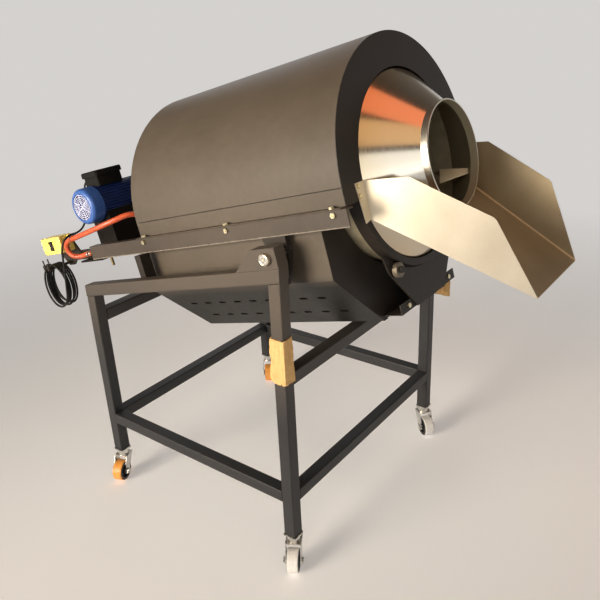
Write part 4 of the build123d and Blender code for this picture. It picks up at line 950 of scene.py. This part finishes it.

# %% Rails with a painted highlight on their lower edge
RAIL_FOOT = -0.085
HIGHLIGHT_BAND = 0.0035
HIGHLIGHT_AMOUNT = 0.55
EDGE_HIGHLIGHT = shade(0.27, 0.235, 0.19)
rail_enamel, cloud, colour = enamel(
    "rail_enamel", shade(0.044, 0.034, 0.026), shade(0.060, 0.047, 0.036), gloss=0.42, shine=0.35,
)
over = rail_enamel.parts_of(rail_enamel.body())[2]
highlight_breakup = rail_enamel.noise(rail_enamel.body(), 60.0, 4.0, 0.6)
# Painted highlight: a pale band along the rail's lower edge, broken up by noise, stands for light
# caught on the edge.
painted_highlight = rail_enamel.level(
    over + (highlight_breakup - 0.5) * 0.006, HIGHLIGHT_AMOUNT, 0.0, RAIL_FOOT + HIGHLIGHT_BAND / 2, RAIL_FOOT + HIGHLIGHT_BAND,
)
rail_enamel.feed(Base_Color=rail_enamel.blend(painted_highlight, colour, EDGE_HIGHLIGHT))
rail_enamel.wear("side_rail_near", "side_rail_far")

# %% Near-black enamel, platform and stand, with painted shade and painted light
LIT_LOW = 0.55
LIT_HIGH = 0.92
LIT_TONE = shade(0.066, 0.053, 0.041)
# Near-black enamel on the tyre ring, the trunnion plates and the hood's folds; on the hood's front
# plate, the box's front panel, the roller carrier, the switch arm and the rest stops the near-black
# is painted shade.
black_and_shade_enamel, cloud, colour = enamel(
    "black_and_shade_enamel", shade(0.016, 0.012, 0.009), shade(0.027, 0.021, 0.016), gloss=0.48, shine=0.28,
)
black_and_shade_enamel.feed(Base_Color=colour)
black_and_shade_enamel.wear(
    "hood_front_plate", "tyre_ring", "trunnion_plates", "switch_arm", "box_front_panel",
    "roller_carrier", "rest_stops", seams,
)
# Painted shade: the platform is painted darker than the other black enamel, for the dark space
# under the motor.
platform_shade_enamel, cloud, colour = enamel(
    "platform_shade_enamel", shade(0.008, 0.007, 0.006), shade(0.015, 0.013, 0.011),
    gloss=0.62, shine=0.08,
)
platform_shade_enamel.feed(Base_Color=colour)
platform_shade_enamel.wear("drive_platform")
stand_enamel, cloud, colour = enamel(
    "stand_enamel", shade(0.0155, 0.0158, 0.0170), shade(0.0260, 0.0258, 0.0268),
    gloss=0.44, shine=0.35,
)
height = stand_enamel.parts_of(stand_enamel.room())[2]
# Painted light: the stand is painted lighter and warmer towards its top, for light that falls off
# towards the floor.
painted_light = stand_enamel.level(height + cloud * 0.1, 0.0, 1.0, LIT_LOW, LIT_HIGH)
stand_enamel.feed(Base_Color=stand_enamel.blend(painted_light, colour, LIT_TONE))
stand_enamel.wear(
    "leg_front_near", "leg_front_far", "leg_rear_near", "leg_rear_far", "top_rail_near",
    "top_rail_far", "stand_rails", "pivot_brackets",
)

# %% [markdown]
# ## Stainless steel
#
# The cone was spun on a lathe, so its fine lines run round the axis, and its colour is painted
# straw and bronze, strongest where it meets the drum, as painted warm reflection. Its inside is
# dull from the roast, and the distance to the axis tells inside from outside. The chute was folded
# from brushed sheet, so its lines run down the slope, and its inside is painted a darker brown as
# painted shade and reflection, with a painted highlight along each fold. In both the noise is
# squeezed across the lines, and drives roughness and a faint bump.

# %% Spun stainless with painted warm reflection
COLLAR_R = 0.141
CONE_FRONT = 0.107
CONE_FALL = 1.0246
SKIN = 0.001
spun_steel = Finish("spun_steel", Specular_IOR_Level=0.5)
along, beside, over = spun_steel.parts_of(spun_steel.body())
radius = spun_steel.root(beside * beside + over * over)
round_axis = spun_steel.join(
    along * 1500.0 + radius * 900.0, beside / radius * 1.2, over / radius * 1.2,
)
lines = spun_steel.noise(round_axis, 1.0, 3.0, 0.55)
behind = spun_steel.larger(CONE_FRONT - along, 0.0)
inside = radius < behind * CONE_FALL + (COLLAR_R - SKIN)
drift = spun_steel.noise(spun_steel.body(), 6.0, 2.0)
# Painted reflection: the cone's straw and bronze colour, strongest towards the drum, stands for
# warm surroundings mirrored in the steel.
painted_warmth = spun_steel.level(along + drift * 0.03, 0.0, 1.0, start=-0.02, end=0.125)
outer = spun_steel.ramp(
    painted_warmth + lines * 0.12 - 0.06,
    (0.0, shade(0.58, 0.46, 0.30)), (0.3, shade(0.66, 0.58, 0.45)),
    (0.6, shade(0.70, 0.65, 0.57)), (1.0, shade(0.72, 0.68, 0.60)),
)
inner = spun_steel.blend(
    spun_steel.level(lines, 0, 1), shade(0.26, 0.22, 0.14), shade(0.40, 0.35, 0.24),
)
spun_steel.feed(
    Base_Color=spun_steel.blend(inside, outer, inner),
    Metallic=1.0 - inside * 0.8,
    Roughness=spun_steel.level(lines, 0.13, 0.20) + (along > CONE_FRONT) * 0.16 + inside * 0.3,
)
spun_steel.bump(lines, 0.02, 0.0001)
spun_steel.wear("mouth_cone")

# %% Brushed sheet, with painted shade inside and a painted highlight on the folds
CHUTE_HALF = 0.260
CHUTE_FLOOR = -0.095
SPOUT_ALONG = 0.342
SPOUT_FLOOR = -0.362
SPOUT_TAPER = 0.109
WALL_HIGH = 0.135
WALL_GROW = 0.167
WALL_SPREAD = 0.056
FOLD_HIGHLIGHT_WIDE = 0.0065
sheet_steel = Finish("sheet_steel", Specular_IOR_Level=0.5)
along, beside, over = sheet_steel.parts_of(sheet_steel.body())
way = along / SPOUT_ALONG
ground = CHUTE_FLOOR + way * (SPOUT_FLOOR - CHUTE_FLOOR)
spread = (over - ground) * way * WALL_SPREAD / (way * WALL_GROW + WALL_HIGH)
half = CHUTE_HALF - way * SPOUT_TAPER + spread
aside = sheet_steel.root(beside * beside)
# Painted shade and reflection: the inside of the chute is painted a darker brown than the outside,
# and less metallic.
shaded_inside = (aside < half - SKIN) * (over > ground + SKIN)
# Painted highlight: a pale line along each inside fold stands for light caught on the bend.
fold_highlight = shaded_inside * (aside > half - FOLD_HIGHLIGHT_WIDE) * (over < ground + FOLD_HIGHLIGHT_WIDE)
brushed = sheet_steel.vector("MULTIPLY", sheet_steel.body(), (9.0, 700.0, 700.0))
grain = sheet_steel.noise(brushed, 1.0, 4.0, 0.6)
smear = sheet_steel.noise(sheet_steel.body(), 7.0, 3.0)
mix = sheet_steel.level(grain * 0.35 + smear * 0.65, 0, 1)
bright = sheet_steel.blend(mix, shade(0.64, 0.56, 0.43), shade(0.78, 0.71, 0.58))
brown = sheet_steel.blend(mix, shade(0.36, 0.285, 0.175), shade(0.50, 0.425, 0.29))
brown = sheet_steel.blend(fold_highlight, brown, shade(0.80, 0.66, 0.45))
sheet_steel.feed(
    Base_Color=sheet_steel.blend(shaded_inside, bright, brown),
    Metallic=1.0 - shaded_inside * 0.45,
    Roughness=sheet_steel.level(grain * 0.7 + smear * 0.3, 0.38, 0.52),
)
sheet_steel.bump(grain, 0.06, 0.0004)
sheet_steel.wear("chute")

# %% Roasted steel inside the drum
roasted_steel = Finish("roasted_steel", Metallic=0.25, Specular_IOR_Level=0.4)
soot = roasted_steel.noise(roasted_steel.body(), 14.0, 5.0, 0.6)
roasted_steel.feed(
    Base_Color=roasted_steel.blend(
        roasted_steel.level(soot, 0, 1), shade(0.36, 0.30, 0.19), shade(0.60, 0.52, 0.36),
    ),
    Roughness=roasted_steel.level(soot, 0.35, 0.6),
)
roasted_steel.wear("drum_shell", "drum_shaft", "drum_flights", fin_lips)

# %% [markdown]
# ## Small metals, paint, plastics, rubber and card
#
# The fasteners and the caster forks are zinc plated, so they are bright with a faint mottle. Paint,
# rubber and moulded plastic are plain in colour, so it is their roughness that moves. One recipe
# with other numbers gives all of these. The caps of the pivots are bright on their lip and boss and
# darker in their dish, and the sleeves on the front legs are brown fluted card.

# %% Plated and cast metal
CORNERS = ("rear_near", "front_near", "front_far", "rear_far")
FORKS = ["caster_fork_" + corner for corner in CORNERS]


def mottled(name, dark, light, smooth, rough, metal, grain, shine=0.5):
    """Finish whose colour and roughness move with one fine and one slow noise."""
    skin = Finish(name, Metallic=metal, Specular_IOR_Level=shine)
    cells = skin.noise(skin.room(), grain, 4.0, 0.6)
    slow = skin.noise(skin.room(), grain / 9, 2.0)
    mix = skin.level(cells * 0.6 + slow * 0.4, 0.0, 1.0, start=0.34, end=0.66)
    skin.feed(Base_Color=skin.blend(mix, dark, light), Roughness=skin.level(cells, smooth, rough))
    skin.bump(cells, 0.12, 0.0004)
    return skin


mottled(
    "zinc_plate", shade(0.58, 0.56, 0.52), shade(0.82, 0.80, 0.75),
    smooth=0.18, rough=0.36, metal=1.0, grain=160.0,
).wear("pivot_bolts", "caster_plates", *FORKS, *clips)
mottled(
    "yellow_zinc", shade(0.58, 0.49, 0.29), shade(0.84, 0.75, 0.52),
    smooth=0.20, rough=0.38, metal=1.0, grain=160.0,
).wear("frame_bolts")
mottled(
    "roller_iron", shade(0.10, 0.085, 0.065), shade(0.24, 0.20, 0.15),
    smooth=0.35, rough=0.55, metal=0.6, grain=120.0,
).wear("roller_near", "roller_far")
mottled(
    "cast_iron", shade(0.018, 0.017, 0.016), shade(0.05, 0.047, 0.043),
    smooth=0.5, rough=0.75, metal=0.4, grain=240.0,
).wear("pillow_block", "burner_tubes", "gas_manifold")
mottled(
    "gear_alloy", shade(0.10, 0.12, 0.15), shade(0.19, 0.21, 0.24),
    smooth=0.4, rough=0.6, metal=0.5, grain=210.0,
).wear("gearbox")
mottled(
    "pipe_brass", shade(0.10, 0.075, 0.035), shade(0.22, 0.17, 0.085),
    smooth=0.30, rough=0.5, metal=1.0, grain=150.0,
).wear("gas_inlet")

# %% Pivot caps in two tones
LIP_INNER = CAP_R - 0.005
BOSS_R = 0.005
cap_steel = Finish("cap_steel", Metallic=1.0, Specular_IOR_Level=0.5)
east, north, height = cap_steel.parts_of(cap_steel.room())
ahead = east - pivot[0]
above = height - pivot[2]
out = cap_steel.root(ahead * ahead + above * above)
speck = cap_steel.noise(cap_steel.room(), 160.0, 4.0, 0.6)
mix = cap_steel.level(speck, 0, 1)
lip_tone = cap_steel.blend(mix, shade(0.46, 0.41, 0.32), shade(0.70, 0.64, 0.52))
dish_tone = cap_steel.blend(mix, shade(0.13, 0.105, 0.07), shade(0.24, 0.20, 0.14))
raised = (out > LIP_INNER) + (out < BOSS_R)
cap_steel.feed(
    Base_Color=cap_steel.blend(raised, dish_tone, lip_tone),
    Roughness=cap_steel.level(speck, 0.30, 0.46),
)
cap_steel.wear(caps)

# %% Paint, plastic and rubber
mottled(
    "motor_blue", shade(0.010, 0.026, 0.12), shade(0.016, 0.045, 0.20),
    smooth=0.3, rough=0.5, metal=0.0, grain=180.0,
).wear(barrel)
mottled(
    "fan_blue", shade(0.026, 0.080, 0.29), shade(0.048, 0.13, 0.41),
    smooth=0.30, rough=0.48, metal=0.0, grain=190.0,
).wear(cowl)
mottled(
    "guard_blue", shade(0.36, 0.40, 0.62), shade(0.56, 0.58, 0.76),
    smooth=0.30, rough=0.48, metal=0.0, grain=190.0,
).wear(guard)
mottled(
    "black_plastic", shade(0.007, 0.007, 0.007), shade(0.016, 0.015, 0.014),
    smooth=0.42, rough=0.62, metal=0.0, grain=420.0, shine=0.2,
).wear("switch_rocker", "mains_plug", "motor_fan", motor_lead, mains_lead, *boots)
mottled(
    "matt_plastic", shade(0.006, 0.006, 0.006), shade(0.013, 0.012, 0.011),
    smooth=0.55, rough=0.72, metal=0.0, grain=420.0, shine=0.1,
).wear(terminal)
mottled(
    "yellow_plastic", shade(0.80, 0.56, 0.08), shade(0.92, 0.74, 0.22),
    smooth=0.30, rough=0.5, metal=0.0, grain=380.0,
).wear("switch_box")
mottled(
    "hose_rubber", shade(0.41, 0.058, 0.017), shade(0.57, 0.102, 0.036),
    smooth=0.26, rough=0.44, metal=0.0, grain=300.0,
).wear(hose)

# %% Brown card
card = Finish("brown_card", Specular_IOR_Level=0.3)
flutes = card.noise(card.vector("MULTIPLY", card.room(), (330.0, 330.0, 9.0)), 1.0, 3.0, 0.5)
scuffs = card.noise(card.room(), 55.0, 4.0, 0.6)
mix = card.level(flutes * 0.55 + scuffs * 0.45, 0, 1)
card.feed(
    Base_Color=card.blend(mix, shade(0.46, 0.26, 0.095), shade(0.72, 0.47, 0.20)),
    Roughness=card.level(scuffs, 0.75, 0.92),
)
card.bump(flutes * 0.7 + scuffs * 0.3, 0.3, 0.0012)
card.wear(wraps)

# %% [markdown]
# ## Two-coloured wheels
#
# Each caster wheel is a dark moulded core with a tread cast round it, orange at the back and pale
# in front. The mesh is one piece, so the finish tells tread from core by the distance to the
# wheel's own axle, which its joint gives.

# %% Tread and core
RIM = 0.0275
HALF_TREAD = 0.0172
ORANGE = (shade(0.74, 0.27, 0.04), shade(0.90, 0.42, 0.10))
PALE = (shade(0.68, 0.67, 0.64), shade(0.84, 0.83, 0.80))
CORE = (shade(0.012, 0.012, 0.012), shade(0.035, 0.034, 0.033))


def wheel_finish(corner, tones):
    """Finish of one wheel, with its tread in two tones and a dark core."""
    axle = joints["roll_" + corner]
    skin = Finish("wheel_" + corner, Specular_IOR_Level=0.5)
    offset = skin.vector("SUBTRACT", skin.room(), axle["pos_m"])
    across = skin.dot(offset, axle["axis"])
    out = skin.root(skin.dot(offset, offset) - across * across)
    on_tread = (out > RIM) * (across * across < HALF_TREAD * HALF_TREAD)
    scuff = skin.noise(skin.room(), 190.0, 4.0, 0.6)
    mix = skin.level(scuff, 0.0, 1.0)
    skin.feed(
        Base_Color=skin.blend(on_tread, skin.blend(mix, *CORE), skin.blend(mix, *tones)),
        Roughness=skin.level(scuff, 0.32, 0.55),
    )
    skin.bump(scuff, 0.1, 0.0004)
    skin.wear("caster_wheel_" + corner)


for corner in CORNERS:
    wheel_finish(corner, ORANGE if "rear" in corner else PALE)

# %% [markdown]
# ## Floor and light
#
# A pale floor that runs into a pale horizon keeps the scene plain. The large soft lamp stands at
# the near left, because the near sides are the brightest. A few faint panels, amber, tan and pale,
# are there to be mirrored in the cone and the chute, because polished steel looks like what stands
# round it, and a low one lifts the near side from below. A small lamp looks into the mouth, and a
# cooler one behind lifts the far side.

# %% Floor
HORIZON = shade(0.66, 0.64, 0.62)
FLOOR_SIZE = 60
FADE_START = 1.2
FADE_END = 3.8
clear_selection()
bpy.ops.mesh.primitive_plane_add(size=FLOOR_SIZE, location=(0, 0, 0))
floor = bpy.context.object
floor.name = "studio_floor"
pale = Finish("studio_pale", Roughness=0.9, Specular_IOR_Level=0.0, Emission_Strength=1.0)
east, north, height = pale.parts_of(pale.room())
far = pale.level(pale.root(east * east + north * north), 0.0, 1.0, FADE_START, FADE_END)
pale.feed(
    Base_Color=pale.ramp(far, (0.0, shade(0.80, 0.78, 0.76)), (1.0, shade(0, 0, 0))),
    Emission_Color=pale.ramp(far, (0.0, shade(0.24, 0.235, 0.23)), (1.0, HORIZON)),
)
pale.wear(floor)


# %% Lamps
def soft_lamp(name, place, aim, sides, power, colour, spread=180):
    """Oblong area lamp that looks at a point and is itself unseen."""
    clear_selection()
    bpy.ops.object.light_add(type="AREA", location=place)
    lamp = bpy.context.object
    lamp.name = name
    lamp.data.shape = "RECTANGLE"
    lamp.data.size, lamp.data.size_y = sides
    lamp.data.energy = power
    lamp.data.color = colour
    lamp.data.spread = math.radians(spread)
    lamp.visible_camera = False
    lamp.rotation_euler = (Vector(aim) - Vector(place)).to_track_quat("-Z", "Y").to_euler()
    print(name, power, "W")


soft_lamp(
    "window_lamp", place=(-0.9, -4.0, 1.8), aim=(0.0, 0, 1.2), sides=(2.2, 2.2),
    power=47, colour=(1.0, 0.88, 0.73), spread=55,
)
soft_lamp(
    "low_panel", place=(-0.6, -3.0, 0.5), aim=(0.7, -0.2, 1.1), sides=(2.4, 0.8),
    power=2.2, colour=(1.0, 0.93, 0.78),
)
soft_lamp(
    "fill_lamp", place=(1.5, -2.6, 2.4), aim=(0.6, 0.1, 1.1), sides=(0.9, 0.9),
    power=11, colour=(1.0, 0.92, 0.80),
)
soft_lamp(
    "amber_panel", place=(1.1, 0.15, 2.75), aim=(0.6, -0.1, 1.25), sides=(0.85, 0.85),
    power=2.6, colour=(1.0, 0.27, 0.11),
)
soft_lamp(
    "tan_panel", place=(1.68, -0.6, 2.62), aim=(0.6, -0.15, 1.25), sides=(0.8, 0.8),
    power=1.7, colour=(1.0, 0.60, 0.28),
)
soft_lamp(
    "pale_panel", place=(2.4, -1.3, 1.8), aim=(0.65, -0.15, 1.2), sides=(1.2, 1.2),
    power=5.6, colour=(1.0, 0.97, 0.90),
)
soft_lamp(
    "back_lamp", place=(-2.5, 2.5, 2.6), aim=(0, 0, 1.0), sides=(2.0, 2.0),
    power=14, colour=(0.97, 0.97, 1.0),
)

# %% World
world = bpy.context.scene.world or bpy.data.worlds.new("studio")
bpy.context.scene.world = world
world.use_nodes = True
sky = Nodes(world.node_tree)
rise = sky.parts_of(sky.node("TexCoord", output="Generated"))[2]
dome = sky.ramp(
    rise, (0.08, HORIZON), (0.32, shade(0.16, 0.138, 0.115)), (1.0, shade(0.05, 0.034, 0.021)),
)
background = sky.tree.nodes["Background"].inputs
plug_in(sky.tree, background["Color"], dome)
plug_in(sky.tree, background["Strength"], 1.0)
bpy.context.scene.view_settings.view_transform = "Standard"
print("materials", len(bpy.data.materials), "lamps", len(bpy.data.lights))


bpy.context.view_layer.update()
